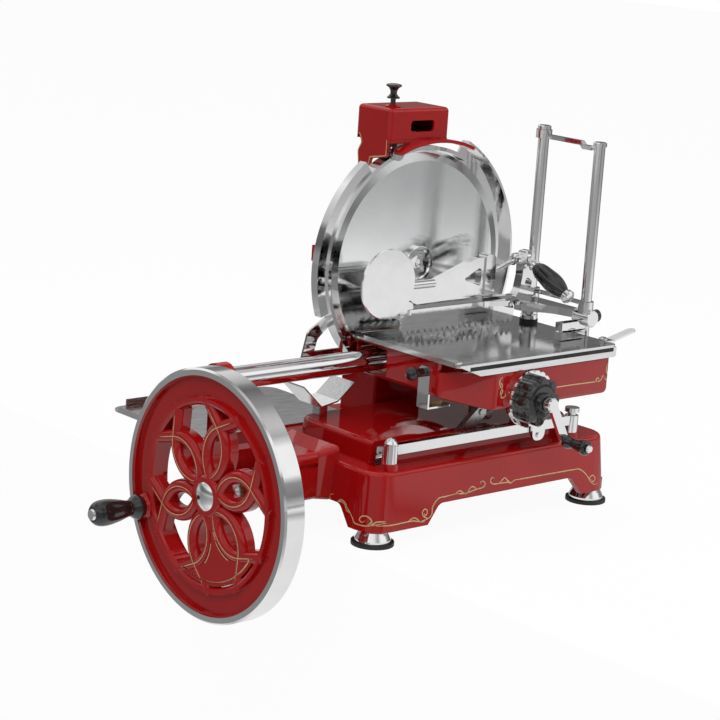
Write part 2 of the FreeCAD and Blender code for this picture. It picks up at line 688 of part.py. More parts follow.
def flywheel_casting():
    inner = RING_R - RING_W
    back = RIM_W - 2
    ring_profile = [(WEB_SET_BACK + 1, inner + 2), (WEB_SET_BACK, inner + 4), (WEB_SET_BACK, inner + RING_STEP - 2),
                    (WEB_SET_BACK + RING_RECESS, inner + RING_STEP), (WEB_SET_BACK + RING_RECESS, RING_R - 3),
                    (WEB_SET_BACK, RING_R - 2), (WEB_SET_BACK, RING_R), (back, RING_R), (back, inner),
                    (WEB_SET_BACK + 3, inner)]
    points = [V(WHEEL_X + a, SHAFT_Y + r, SHAFT_Z) for a, r in ring_profile]
    ring_face = Part.Face(Part.makePolygon(points + [points[0]]))
    axis = V(WHEEL_X, SHAFT_Y, SHAFT_Z)
    ribs = [petal(PETAL_TURN + index * 360 / PETALS) for index in range(PETALS)]
    hub = turned([(WEB_SET_BACK - 1, HUB_R - 3), (WEB_SET_BACK + 2, HUB_R), (back, HUB_R), (back, BARREL_R + 2),
                  (WHEEL_HUB_L, BARREL_R + 2)], axis, ALONG_X)
    fan = fan_outline(0).extrude(V(RIB_DEPTH - 1, 0, 0))
    fan.translate(V(WEB_SET_BACK + 1, 0, 0))
    groove = fan_outline(3.5).cut(fan_outline(5)).extrude(V(2, 0, 0))
    groove.translate(V(WEB_SET_BACK, 0, 0))
    casting = fuse(ribs + [hub, fan, ring_face.revolve(axis, ALONG_X, 360)])
    spindle = rod(SPINDLE_R, handle_centre(-GRIP_GAP), RIM_W + 5)
    boss = turned([(-1, SPINDLE_R + 7), (3, SPINDLE_R + 10), (RIM_W - 4, SPINDLE_R + 10)],
                  handle_centre(0), ALONG_X).common(rod(RING_R, V(WHEEL_X - 5, SHAFT_Y, SHAFT_Z), RIM_W + 5))
    bore = rod(SHAFT_R, V(WHEEL_X - 5, SHAFT_Y, SHAFT_Z), WHEEL_HUB_L + 10)
    return cut(casting.fuse(boss), [groove, bore, spindle])


def flywheel_rim():
    """The chromed band shrunk on to the red ring, with rolled edges."""
    edge = 2.0
    profile = [(0, RING_R), (0, RIM_R - edge), (edge, RIM_R), (RIM_W - edge, RIM_R), (RIM_W, RIM_R - edge),
               (RIM_W, RING_R)]
    points = [V(WHEEL_X + a, SHAFT_Y + r, SHAFT_Z) for a, r in profile]
    return Part.Face(Part.makePolygon(points + [points[0]])).revolve(V(WHEEL_X, SHAFT_Y, SHAFT_Z), ALONG_X, 360)


def hub_cap():
    return turned_smooth([(-5.5, 0.0), (-5, 4.5), (-3.5, 10), (-0.5, CAP_R)],
                         V(WHEEL_X + WEB_SET_BACK - 0.5, SHAFT_Y, SHAFT_Z), ALONG_X)


def main_shaft():
    start = WHEEL_X + WEB_SET_BACK
    end = BLADE_X - GEAR_R * 0.6
    return rod(SHAFT_R, V(start, SHAFT_Y, SHAFT_Z), end - start)


def handle_centre(x):
    """A point on the handle's axis; the handle lies on the same radius as one of the petals."""
    return wheel_point(HANDLE_RADIUS, PETAL_TURN + 180, x)


def handle_spindle():
    """A stepped pin through the ring, with a polished head that keeps the grip on."""
    total = GRIP_GAP + GRIP_L
    return turned([(-total - 3, 5.5), (-total - 0.5, 6.5), (-total - 0.5, SPINDLE_R), (-GRIP_GAP, SPINDLE_R),
                    (-GRIP_GAP, SPINDLE_R + 4), (-1, SPINDLE_R + 4), (-1, SPINDLE_R), (RIM_W - 2, SPINDLE_R)],
                  handle_centre(0), ALONG_X)


def wheel_grip():
    """A turned grip: a flange at the wheel, a narrow neck, a swelling body and a rounded end."""
    outer = [(0, 12.5), (4, 14.2), (8, 12.5), (13, 9.5), (22, 10.5), (36, 13.5), (50, 14.5), (58, 12.5),
             (GRIP_L, 8.5)]
    body = turned_smooth(outer, handle_centre(-GRIP_GAP - FREE_GAP), V(-1, 0, 0))
    return body.cut(rod(SPINDLE_R + RUN_FIT * 2, handle_centre(-GRIP_GAP - GRIP_L - 2), GRIP_L + 4))


# Drive inside the base ----------------------------------------------------------------------------------

def mitre_gear(direction, side):
    """A straight toothed mitre gear. direction points from the shared apex to the gear's back."""
    apex = V(BLADE_X, SHAFT_Y, SHAFT_Z)
    pitch = 2 * math.pi / GEAR_TEETH
    module = 2 * GEAR_R / GEAR_TEETH
    shrink = (GEAR_R * math.sqrt(2) - GEAR_FACE) / (GEAR_R * math.sqrt(2))
    lift = 0.75 * module / math.sqrt(2)
    sink = 1.1 * module / math.sqrt(2)
    root_big = (GEAR_R + sink, GEAR_R - sink)
    root_small = ((GEAR_R + sink) * shrink, (GEAR_R - sink) * shrink)
    hub_back = GEAR_R + sink + 7
    blank = turned([(root_small[0], SHAFT_R), root_small, root_big, (GEAR_R + sink + 3, GEAR_R - sink - 3),
                    (GEAR_R + sink + 3, SHAFT_R + 5), (hub_back, SHAFT_R + 5), (hub_back, SHAFT_R)],
                   V(0, 0, 0), ALONG_X)
    blank = blank.cut(rod(SHAFT_R, V(0, 0, 0), hub_back + 5))

    def tooth_section(scale):
        rows = [(-sink - 0.4, 0.30), (lift, 0.16)]
        corners = []
        for offset, share in rows:
            axial = (GEAR_R - offset) * scale
            radius = (GEAR_R + offset) * scale
            corners.append((axial, radius, share * pitch))
        (a0, r0, w0), (a1, r1, w1) = corners
        points = [V(a0, r0 * math.cos(w0), -r0 * math.sin(w0)), V(a1, r1 * math.cos(w1), -r1 * math.sin(w1)),
                  V(a1, r1 * math.cos(w1), r1 * math.sin(w1)), V(a0, r0 * math.cos(w0), r0 * math.sin(w0))]
        return Part.makePolygon(points + [points[0]])
    tooth = Part.makeLoft([tooth_section(shrink), tooth_section(1.0)], True, True)
    gear = blank
    for index in range(GEAR_TEETH):
        copy = tooth.copy()
        copy.rotate(V(0, 0, 0), ALONG_X, (index + side) * 360 / GEAR_TEETH)
        gear = gear.fuse(copy)
    gear.Placement = FreeCAD.Placement(apex, FreeCAD.Rotation(ALONG_X, direction))
    return gear


def drive_gear():
    """The mitre gear on the main shaft's end."""
    return mitre_gear(V(-1, 0, 0), 0)


def cross_gear():
    """The mitre gear on the cross shaft, half a tooth round from its mate."""
    return mitre_gear(ALONG_Y, 0.5)


def chain_sprocket():
    return sprocket(SPROCKET_R, BLADE_X, SHAFT_Z, SHAFT_R)


def cross_shaft():
    front = CRANK_DISC_Y
    return rod(SHAFT_R, V(BLADE_X, front, SHAFT_Z), SPROCKET_Y + SPROCKET_T + 4 - front, ALONG_Y)


def crank_disc():
    """The crank at the front of the cross shaft, with its pin and a counterweight."""
    pin_length = CRANK_DISC_Y - (ROD_Y + ROD_T + 0.5)
    disc = rod(CRANK_DISC_R, V(BLADE_X, CRANK_DISC_Y, SHAFT_Z), CRANK_DISC_T, ALONG_Y)
    disc = disc.cut(rod(SHAFT_R, V(BLADE_X, CRANK_DISC_Y, SHAFT_Z), CRANK_DISC_T, ALONG_Y))
    pin = rod(LEVER_PIN_R, V(BLADE_X + CRANK_R, CRANK_DISC_Y - pin_length, SHAFT_Z), pin_length, ALONG_Y)
    return disc.fuse(pin)


def sprocket(radius, x, z, bore):
    """A sprocket for the blade's chain, its teeth just inside the chain's loop."""
    teeth = round(radius)
    body = rod(radius - 2.5, V(x, SPROCKET_Y - SPROCKET_T / 2, z), SPROCKET_T, ALONG_Y)
    for index in range(teeth):
        angle = 2 * math.pi * index / teeth
        out = V(math.cos(angle), 0, math.sin(angle))
        side = V(-math.sin(angle), 0, math.cos(angle))
        root = V(x, SPROCKET_Y - SPROCKET_T / 2, z) + out * (radius - 4)
        tip = V(x, SPROCKET_Y - SPROCKET_T / 2, z) + out * (radius - 0.2)
        wide = 1.0 + radius / 30
        points = [root - side * wide, tip - side * 0.7, tip + side * 0.7, root + side * wide]
        tooth = Part.Face(Part.makePolygon(points + [points[0]])).extrude(V(0, SPROCKET_T, 0))
        body = body.fuse(tooth)
    return body.cut(rod(bore, V(x, SPROCKET_Y - SPROCKET_T, z), 2 * SPROCKET_T, ALONG_Y))


def chain_loop(grow):
    """The outline round both sprockets: two arcs joined by the tangents on either side."""
    big, small = SPROCKET_R + grow, SPROCKET_R / CHAIN_RATIO + grow
    span = BLADE_Z - SHAFT_Z
    tilt = math.asin((big - small) / span)
    y = SPROCKET_Y - CHAIN_W / 2

    def at(z, radius, angle):
        return V(BLADE_X + radius * math.cos(angle), y, z + radius * math.sin(angle))
    right, left = tilt, math.pi - tilt
    edges = [Part.Arc(at(SHAFT_Z, big, left), at(SHAFT_Z, big, -math.pi / 2),
                      at(SHAFT_Z, big, right)).toShape(),
             Part.LineSegment(at(SHAFT_Z, big, right), at(BLADE_Z, small, right)).toShape(),
             Part.Arc(at(BLADE_Z, small, right), at(BLADE_Z, small, math.pi / 2),
                      at(BLADE_Z, small, left)).toShape(),
             Part.LineSegment(at(BLADE_Z, small, left), at(SHAFT_Z, big, left)).toShape()]
    return Part.Face(Part.Wire(edges)).extrude(V(0, CHAIN_W, 0))


def drive_chain():
    return chain_loop(CHAIN_T).cut(chain_loop(FREE_GAP))


def lever_place(up, y):
    """A point on the lever's centre line at rest, up along it from the pivot."""
    return V(LEVER_X + up * math.sin(LEVER_REST), y, LEVER_Z + up * math.cos(LEVER_REST))


def bar_with_eyes(start, end, width, thickness, hole_start, hole_end):
    """A flat link with rounded ends, thickness along Y."""
    along = (end - start).normalize()
    side = V(-along.z, 0, along.x) * (width / 2)
    points = [start + side, end + side, end - side, start - side]
    body = Part.Face(Part.makePolygon(points + [points[0]])).extrude(V(0, thickness, 0))
    body = body.fuse(rod(width / 2, start, thickness, ALONG_Y)).fuse(rod(width / 2, end, thickness, ALONG_Y))
    body = body.removeSplitter()
    for point, hole in ((start, hole_start), (end, hole_end)):
        if hole:
            body = body.cut(rod(hole, point - V(0, 1, 0), thickness + 2, ALONG_Y))
    return body


def drive_lever():
    """The swinging lever; its tip pin runs in the carriage's yoke and a lower pin takes the rod."""
    y = LEVER_Y - LEVER_T / 2
    lever = bar_with_eyes(lever_place(0, y), lever_place(LEVER_LENGTH, y), LEVER_W, LEVER_T,
                          LEVER_PIN_R + RUN_FIT, 0)
    tip = rod(TIP_PIN_R, lever_place(LEVER_LENGTH, y - 1.5), YOKE_Y + YOKE_T - y + 0.7, ALONG_Y)
    rod_pin = rod(LEVER_PIN_R, lever_place(ROD_PIN_UP, y), ROD_Y + ROD_T - y, ALONG_Y)
    return fuse([lever, tip, rod_pin])


def lever_pin():
    start = -BASE_DEPTH / 2 + WALL + 2
    return rod(LEVER_PIN_R, V(LEVER_X, start, LEVER_Z), LEVER_Y + LEVER_T / 2 - start, ALONG_Y)


def connecting_rod():
    start = lever_place(ROD_PIN_UP, ROD_Y)
    end = V(BLADE_X + CRANK_R, ROD_Y, SHAFT_Z)
    return bar_with_eyes(start, end, 14, ROD_T, LEVER_PIN_R + RUN_FIT, LEVER_PIN_R + 1)


# Blade, guard and pedestal ------------------------------------------------------------------------------

def blade():
    """A round blade: flat polished face, ground bevel at the rim, hollow at the back."""
    centre = V(BLADE_X, BLADE_Y, BLADE_Z)
    profile = [(0, ARBOR_R - 3), (0, BLADE_FACE_R), (BEVEL, BLADE_R), (BEVEL + 0.6, BLADE_R),
               (BLADE_T, BLADE_FACE_R - 6), (3, 100), (3, 45), (BLADE_T, 38), (BLADE_T, ARBOR_R - 3)]
    points = [V(centre.x + r, centre.y + a, centre.z) for a, r in profile]
    return Part.Face(Part.makePolygon(points + [points[0]])).revolve(centre, ALONG_Y, 360)


def blade_hub():
    """The disc that clamps the blade, with a raised ring."""
    profile = [(0, 3.5), (0, HUB_DISC_R), (-HUB_DISC_T + 1, HUB_DISC_R), (-HUB_DISC_T, HUB_DISC_R - 1),
               (-HUB_DISC_T, HUB_DISC_R - 4), (-HUB_DISC_T + 1.5, HUB_DISC_R - 5.5), (-HUB_DISC_T + 1.5, 3.5)]
    points = [V(BLADE_X + r, BLADE_Y + a, BLADE_Z) for a, r in profile]
    disc = Part.Face(Part.makePolygon(points + [points[0]])).revolve(V(BLADE_X, BLADE_Y, BLADE_Z), ALONG_Y, 360)
    return fuse([disc, hub_screw()])


def hub_screw():
    """The slotted screw in the middle of the disc."""
    head = turned([(-2.5, 4), (0, 6)], V(BLADE_X, BLADE_Y - HUB_DISC_T + 1.5, BLADE_Z), ALONG_Y)
    stem = rod(3.5, V(BLADE_X, BLADE_Y - HUB_DISC_T + 1.5, BLADE_Z), HUB_DISC_T + 10, ALONG_Y)
    slot = block(BLADE_X - 5, BLADE_X + 5, BLADE_Y - HUB_DISC_T - 3, BLADE_Y - HUB_DISC_T + 0.3,
                 BLADE_Z - 0.8, BLADE_Z + 0.8)
    return fuse([head, stem]).cut(slot)


def blade_arbor():
    """The blade's spindle: a flange behind the blade and the shaft through the pedestal's head."""
    y = BLADE_Y + BLADE_T
    flange = rod(36, V(BLADE_X, y, BLADE_Z), 5, ALONG_Y)
    nose = rod(ARBOR_R - 3, V(BLADE_X, BLADE_Y, BLADE_Z), BLADE_T, ALONG_Y)
    stem = rod(ARBOR_R, V(BLADE_X, y, BLADE_Z), PED_FRONT + HEAD_BOSS_L + 2 - y, ALONG_Y)
    stem = stem.fuse(rod(ARBOR_R / 2, V(BLADE_X, y, BLADE_Z), SPROCKET_Y + SPROCKET_T - y, ALONG_Y))
    teeth = sprocket(SPROCKET_R / CHAIN_RATIO, BLADE_X, BLADE_Z, ARBOR_R / 2)
    return fuse([flange, nose, stem, teeth]).cut(rod(3.5, V(BLADE_X, BLADE_Y, BLADE_Z), 12, ALONG_Y))


def pedestal_outline(inset, y0, y1):
    half = PED_HALF - inset
    low = SHOULDER_Z + (0 if inset == 0 else -1)
    column = block(BLADE_X - half, BLADE_X + half, y0, y1, low, BLADE_Z)
    return column.fuse(rod(half, V(BLADE_X, y0, BLADE_Z), y1 - y0, ALONG_Y)).removeSplitter()


def blade_pedestal():
    """The hollow column behind the blade; the chain runs up inside it."""
    shell = pedestal_outline(0, PED_FRONT, PED_BACK)
    shell = shell.makeFillet(4, edges_at_y(shell, PED_FRONT) + edges_at_y(shell, PED_BACK))
    shell = shell.cut(pedestal_outline(PED_WALL, PED_FRONT + PED_WALL, PED_BACK - PED_WALL))
    boss = rod(ARBOR_R + BUSH_WALL + 6, V(BLADE_X, PED_FRONT, BLADE_Z), HEAD_BOSS_L, ALONG_Y)
    arms = guard_arms()
    bore = rod(ARBOR_R + BUSH_WALL, V(BLADE_X, PED_FRONT - 1, BLADE_Z), 30, ALONG_Y)
    return cut(fuse([shell, boss] + arms), [bore])


def edges_at_y(shape, y):
    return [edge for edge in shape.Edges
            if all(abs(vertex.Point.y - y) < 1e-4 for vertex in edge.Vertexes)]


def guard_arms():
    """The arms that reach from the pedestal's head out to the guard and shield, and the sharpener's post."""
    y0, y1 = PED_FRONT + 2, PED_FRONT + 14
    reach = BLADE_R + GUARD_GAP + GUARD_T / 2
    z0, z1 = BLADE_Z + 8, BLADE_Z + 26
    bar = block(BLADE_X - reach, BLADE_X + reach, y0, y1, z0, z1)
    left_foot = block(BLADE_X - reach, BLADE_X - reach + 16, GUARD_FRONT + GUARD_DEPTH + 2, y1, z0, z1)
    right_foot = block(BLADE_X + reach - 6, BLADE_X + reach + 10, SHIELD_Y + 5.2, y1, z0, z1)
    post = block(SHARP_POST_X - 14, SHARP_POST_X + 14, y0 + 8, y1 + 10, BLADE_Z + PED_HALF - 6, SHARP_Z - 4)
    inside = rod(PED_HALF - PED_WALL, V(BLADE_X, PED_FRONT + PED_WALL, BLADE_Z),
                 PED_BACK - PED_FRONT - 2 * PED_WALL, ALONG_Y)
    return [shape.cut(inside) for shape in (bar, left_foot, right_foot, post)]


def blade_guard():
    """The ring round the blade's edge, with a wide cheek at the upper left."""
    inner = BLADE_R + GUARD_GAP
    hoop = sector(inner + GUARD_T, inner, GUARD_FROM, GUARD_TO, GUARD_FRONT, GUARD_DEPTH)
    cheek = sector(CHEEK_R, inner, CHEEK_FROM, CHEEK_TO, GUARD_FRONT + 3, CHEEK_T)
    rim = sector(CHEEK_R, CHEEK_R - 2.5, CHEEK_FROM, CHEEK_TO, GUARD_FRONT + 3, GUARD_DEPTH - 3)
    back = sector(inner + GUARD_T, inner - 8, GUARD_FROM, GUARD_TO, GUARD_FRONT + GUARD_DEPTH - 0.5, 2.5)
    return fuse([hoop, cheek, rim, back])


def guard_shield():
    """The wide polished shield behind the blade's right-hand edge."""
    return sector(SHIELD_R, SHIELD_R - SHIELD_W - 10, -22, GUARD_FROM, SHIELD_Y + 2.2, 3).fuse(
        sector(SHIELD_R, SHIELD_R - 3, -22, GUARD_FROM, SHIELD_Y - 8, 12))


def slice_deflector():
    """The curved polished plate below the guard's left end, which throws the slices on to the tray."""
    x0, x1 = BLADE_X - BLADE_R - 24.5, BLADE_X - BLADE_R + 17.5
    z = BLADE_Z - 102
    y = PED_FRONT - 4
    points = [(V(x0, y, z), 0), (V(x0 + 8, y, z + 32), 10), (V(x1, y, z + 52), 4), (V(x1 + 6, y, z + 44), 3),
              (V(x0 + 22, y, z + 22), 6), (V(x0 + 16, y, z), 0)]
    leaf = plate(points, V(0, 3, 0))
    stay = block(x0 + 2, BLADE_X - PED_HALF + 4, y, y + 3, z + 2, z + 8)
    tie = block(BLADE_X - PED_HALF - 6, BLADE_X - PED_HALF + 4, y, PED_FRONT, z, z + 10)
    return fuse([leaf, stay, tie])


def slice_tray():
    """The thin tray behind the blade that catches the slices, with its back left edge turned up."""
    sheet = plate([(V(TRAY_LEFT, TRAY_FRONT, TRAY_Z), 22), (V(TRAY_RIGHT, TRAY_FRONT, TRAY_Z), 4),
                   (V(TRAY_RIGHT, TRAY_BACK, TRAY_Z), 18), (V(TRAY_LEFT, TRAY_BACK, TRAY_Z), 18)],
                  V(0, 0, TRAY_T))
    lip = block(TRAY_LEFT + 24, TRAY_RIGHT - 20, TRAY_BACK - TRAY_T, TRAY_BACK, TRAY_Z, TRAY_Z + 9)
    side = block(TRAY_LEFT, TRAY_LEFT + TRAY_T, TRAY_FRONT + 60, TRAY_BACK - 20, TRAY_Z, TRAY_Z + 7)
    return fuse([sheet, lip, side])


# Sharpener ----------------------------------------------------------------------------------------------

def sharpener_cover():
    """The red cover: a top, a front with a rounded window, and a deep left cheek with a waved edge."""
    body = block(SHARP_LEFT, SHARP_RIGHT, SHARP_FRONT, SHARP_BACK, SHARP_Z, SHARP_TOP)
    body = body.makeFillet(5, [edge for edge in body.Edges
                               if edge.BoundBox.ZMin > SHARP_Z + 1 or edge.BoundBox.ZLength > 1])
    wall = SHARP_WALL
    hollow = block(SHARP_LEFT + wall, SHARP_RIGHT - wall, SHARP_FRONT + wall, SHARP_BACK - wall,
                   SHARP_Z - 1, SHARP_TOP - wall)
    low = SHARP_Z - 42
    front, back = SHARP_FRONT + 3, SHARP_BACK - 4
    guard_back = GUARD_FRONT + GUARD_DEPTH + 4
    cheek = plate([(V(SHARP_LEFT, front, SHARP_Z + 4), 0), (V(SHARP_LEFT, front, SHARP_Z - 20), 3),
                   (V(SHARP_LEFT, guard_back + 1, SHARP_Z - 24.5), 3), (V(SHARP_LEFT, guard_back + 5, low), 5),
                   (V(SHARP_LEFT, back - 4, low + 3), 6), (V(SHARP_LEFT, back - 1, SHARP_Z - 18), 8),
                   (V(SHARP_LEFT, back - 7, SHARP_Z - 8), 5), (V(SHARP_LEFT, back, SHARP_Z + 4), 0)], V(wall, 0, 0))
    y = SHARP_FRONT - 1
    window = plate([(V(-30, y, SHARP_Z + 8), 4), (V(SHARP_POST_X, y, SHARP_Z + 8), 4),
                    (V(SHARP_POST_X, y, SHARP_Z + 21), 4), (V(-30, y, SHARP_Z + 21), 4)], V(0, wall + 2, 0))
    boss = turned([(-2, 9), (1, 9), (2.5, 6)], V(SHARP_KNOB_X, SHARP_STEM_Y, SHARP_TOP), ALONG_Z)
    bore = rod(SHARP_STEM_R + RUN_FIT, V(SHARP_KNOB_X, SHARP_STEM_Y, SHARP_TOP - 10), 16, ALONG_Z)
    return cut(fuse([body.cut(hollow), cheek, boss]), [window, bore])


def sharpener_plate():
    """The carrier under the cover, on the pedestal's post; a brim curls down from it over the blade's edge."""
    z = SHARP_Z - 4
    carrier = plate([(V(SHARP_LEFT, SHARP_FRONT, z), 4), (V(SHARP_RIGHT, SHARP_FRONT, z), 4),
                     (V(SHARP_RIGHT, SHARP_BACK, z), 5), (V(SHARP_LEFT, SHARP_BACK, z), 5)], V(0, 0, 3.8))
    brim = sector(BRIM_R + 4, BRIM_R, 68, 114, SHARP_FRONT - 12, 13)
    cheek_room = block(SHARP_LEFT - 0.4, SHARP_LEFT + SHARP_WALL + 0.4, SHARP_FRONT + 2.5, SHARP_BACK - 3,
                       z - 1, z + 5)
    stem_hole = rod(SHARP_STEM_R + RUN_FIT, V(SHARP_KNOB_X, SHARP_STEM_Y, z - 1), 8, ALONG_Z)
    return cut(fuse([carrier, brim]), [cheek_room, stem_hole])


def sharpener_knob():
    """The black knob on its stem; pressing it brings the stones to the blade."""
    low = SHARP_Z - 10
    stem = rod(SHARP_STEM_R, V(SHARP_KNOB_X, SHARP_STEM_Y, low), SHARP_TOP + 3 - low, ALONG_Z)
    head = turned([(0, 5.5), (2, 6), (4, 4.5), (8, 4.5), (10, 8), (13, 9), (16, 8), (17.5, 5)],
                  V(SHARP_KNOB_X, SHARP_STEM_Y, SHARP_TOP + 3 + SHARP_STROKE), ALONG_Z)
    collar = rod(SHARP_STEM_R, V(SHARP_KNOB_X, SHARP_STEM_Y, SHARP_TOP + 2), SHARP_STROKE + 2, ALONG_Z)
    return fuse([stem, collar, head])


def sharpener_stones():
    """Two grinding wheels on the stem's yoke, one for each side of the blade's edge."""
    z = SHARP_Z - 10
    yoke = block(SHARP_KNOB_X - 5, SHARP_KNOB_X + 5, SHARP_STEM_Y - 17, SHARP_STEM_Y + 13.5, z, z + 5)
    yoke = yoke.cut(rod(SHARP_STEM_R, V(SHARP_KNOB_X, SHARP_STEM_Y, z - 1), 8, ALONG_Z))
    stones = [rod(9, V(SHARP_KNOB_X, SHARP_STEM_Y + offset, z - 6), 5, ALONG_Y) for offset in (-16, 7.5)]
    return fuse([yoke] + stones)


# Carriage -----------------------------------------------------------------------------------------------

def side_walls():
    """Deeper walls at both ends of the carriage; the table slides on their tops."""
    walls = []
    for x in (CAR_LEFT, CAR_RIGHT - CAR_WALL):
        walls.append(block(x, x + CAR_WALL, CAR_FRONT + CORNER_Y + 2, CAR_BACK - 4, CAR_TOP - 10, RUNNER_Z))
    return walls


def tube_webs():
    """The two cross webs inside the carriage that hold the bushes on the tube."""
    webs = []
    for x in (CAR_LEFT + TUBE_WEB_IN, CAR_RIGHT - CAR_WALL - WEB_T + 2):
        webs.append(block(x, x + WEB_T, TUBE_Y - TUBE_R - 9, CAR_BACK - 1, CAR_BOTTOM, CAR_TOP))
        webs.append(rod(TUBE_R + BUSH_WALL + 4, V(x, TUBE_Y, TUBE_Z), WEB_T))
    return webs


def carriage():
    """The red carriage: an open frame with a skirt all round, a boss for the feed and the tube's webs."""
    outer = [(V(CAR_LEFT, CAR_FRONT + CORNER_Y, CAR_BOTTOM), 8), (V(CAR_LEFT + CORNER_X, CAR_FRONT, CAR_BOTTOM), 14),
             (V(CAR_RIGHT, CAR_FRONT, CAR_BOTTOM), 12), (V(CAR_RIGHT, CAR_BACK, CAR_BOTTOM), 6),
             (V(CAR_LEFT, CAR_BACK, CAR_BOTTOM), 6)]
    body = plate(outer, V(0, 0, CAR_TOP - CAR_BOTTOM))
    bottom_front = [edge for edge in edges_at(body, CAR_BOTTOM)
                    if edge.BoundBox.YMax < CAR_FRONT + 1 and edge.BoundBox.XLength > 50]
    body = body.makeFillet(6, bottom_front)
    low, wall = CAR_BOTTOM - 1, CAR_WALL
    room = plate([(V(CAR_LEFT + wall, CAR_FRONT + CORNER_Y + wall / 2, low), 3),
                  (V(CAR_LEFT + CORNER_X + wall / 2, CAR_FRONT + wall, low), 9),
                  (V(CAR_RIGHT - wall, CAR_FRONT + wall, low), 7), (V(CAR_RIGHT - wall, CAR_BACK - wall, low), 1),
                  (V(CAR_LEFT + wall, CAR_BACK - wall, low), 1)], V(0, 0, RUNNER_Z + 1 - low))
    boss = rod(FEED_RING_R - 4, V(FEED_X, CAR_FRONT, FEED_Z), CAR_WALL + 3, ALONG_Y)
    rib = block(CAR_LEFT + 1, SLOT_X + YOKE_HALF, YOKE_Y + YOKE_T, YOKE_Y + YOKE_T + 5,
                CAR_TOP - 14, CAR_TOP + 6)
    whole = fuse([body.cut(room)] + side_walls() + tube_webs() + [boss, rib])
    mouth = block(CAR_LEFT - 1, CAR_LEFT + CAR_WALL + 1, TUBE_Y - 30, CAR_BACK - CAR_WALL, CAR_BOTTOM + 5,
                  RUNNER_Z - 4)
    tube_bore = rod(TUBE_R + BUSH_WALL, V(CAR_LEFT - 1, TUBE_Y, TUBE_Z), CAR_RIGHT - CAR_LEFT + 2)
    feed_bore = rod(FEED_R + RUN_FIT, V(FEED_X, CAR_FRONT - 1, FEED_Z), CAR_WALL + 6, ALONG_Y)
    latch_bore = rod(LATCH_R + RUN_FIT, V(CAR_LEFT - 1, LATCH_Y, LATCH_Z), CAR_WALL + 2)
    return cut(whole, [mouth, tube_bore, feed_bore, latch_bore])


def tube_bushes():
    return Part.makeCompound([ring(TUBE_R + BUSH_WALL, TUBE_R + RUN_FIT, V(x, TUBE_Y, TUBE_Z), WEB_T)
                              for x in (CAR_LEFT + TUBE_WEB_IN, CAR_RIGHT - CAR_WALL - WEB_T + 2)])


def guide_tube():
    return ring(TUBE_R, TUBE_R - 3, V(TUBE_LEFT, TUBE_Y, TUBE_Z), TUBE_RIGHT - TUBE_LEFT)


def carriage_yoke():
    """The slotted plate below the carriage, with a bolt at its toe; the lever's tip pin moves in its slot."""
    low = LEVER_TIP_Z - LEVER_W / 2 - 7
    high = CAR_TOP + 6
    x0, x1 = SLOT_X - YOKE_HALF, SLOT_X + YOKE_HALF
    toe = x1 + 14
    points = [(V(x0, YOKE_Y, low), 4), (V(toe, YOKE_Y, low), 7), (V(toe, YOKE_Y, low + 14), 7),
              (V(x1, YOKE_Y, low + 20), 3), (V(x1, YOKE_Y, high), 0), (V(x0, YOKE_Y, high), 0)]
    half = TIP_PIN_R + SLOT_SLACK
    slot = block(SLOT_X - half, SLOT_X + half, YOKE_Y - 1, YOKE_Y + YOKE_T + 1,
                 LEVER_TIP_Z - TIP_PIN_R - 1, LEVER_Z + LEVER_LENGTH + TIP_PIN_R + 1)
    head = turned([(-3.6, 4), (-3, 5.5), (-1, 5.5), (-1, 7), (0, 7)], V(toe - 7, YOKE_Y, low + 7), ALONG_Y)
    return fuse([plate(points, V(0, YOKE_T, 0)).cut(slot), head])


def roller_bracket():
    """A polished plate in front of the rail that carries the roller and a stud below the bar."""
    y1 = RAIL_Y - RAIL_T / 2 - 1.5
    y0 = y1 - 3
    low = RAIL_Z - 10
    points = [(V(ROLLER_X - 9, y0, low), 8), (V(ROLLER_X + 9, y0, low), 8),
              (V(ROLLER_X + 16, y0, CAR_BOTTOM + 2), 3), (V(ROLLER_X - 16, y0, CAR_BOTTOM + 2), 3)]
    web = plate(points, V(0, y1 - y0, 0))
    shelf = block(ROLLER_X - 10, ROLLER_X + 16, CAR_FRONT + CAR_WALL, y1, CAR_BOTTOM + 2, CAR_BOTTOM + 6)
    axle = rod(3, V(ROLLER_X, y0 - 2, ROLLER_Z), 3.5 + y1 - y0 + RAIL_T + 3, ALONG_Y)
    stud = rod(3.5, V(ROLLER_X, y0 - 2, RAIL_Z - FREE_GAP - 3.5), 2 + y1 - y0 + RAIL_T, ALONG_Y)
    return fuse([web, shelf, axle, stud])


def rail_roller():
    outer = [(0, ROLLER_R - 1), (1, ROLLER_R), (ROLLER_W - 1, ROLLER_R), (ROLLER_W, ROLLER_R - 1)]
    start = V(ROLLER_X, RAIL_Y - ROLLER_W / 2, ROLLER_Z)
    return turned(outer, start, ALONG_Y).cut(rod(3 + RUN_FIT, start - V(0, 1, 0), ROLLER_W + 2, ALONG_Y))


def latch_bracket():
    """The bent polished strip that hangs from the catch on the carriage's left end and turns in below it."""
    x1 = CAR_LEFT
    x0 = x1 - STRIP_T
    half = 9.0
    points = [(V(x0, LATCH_Y - half, LATCH_Z + 7), 6), (V(x0, LATCH_Y + half, LATCH_Z + 7), 6),
              (V(x0, LATCH_Y + half, STRIP_Z), 0), (V(x0, LATCH_Y - half, STRIP_Z), 0)]
    foot = plate([(V(x0, LATCH_Y - half, STRIP_Z), 0), (V(x0 + 38, LATCH_Y - half, STRIP_Z), 5),
                  (V(x0 + 38, LATCH_Y + half, STRIP_Z), 5), (V(x0, LATCH_Y + half, STRIP_Z), 0)], V(0, 0, STRIP_T))
    strip = fuse([plate(points, V(STRIP_T, 0, 0)), foot])
    return strip.cut(rod(LATCH_R + RUN_FIT, V(x0 - 1, LATCH_Y, LATCH_Z), 5))


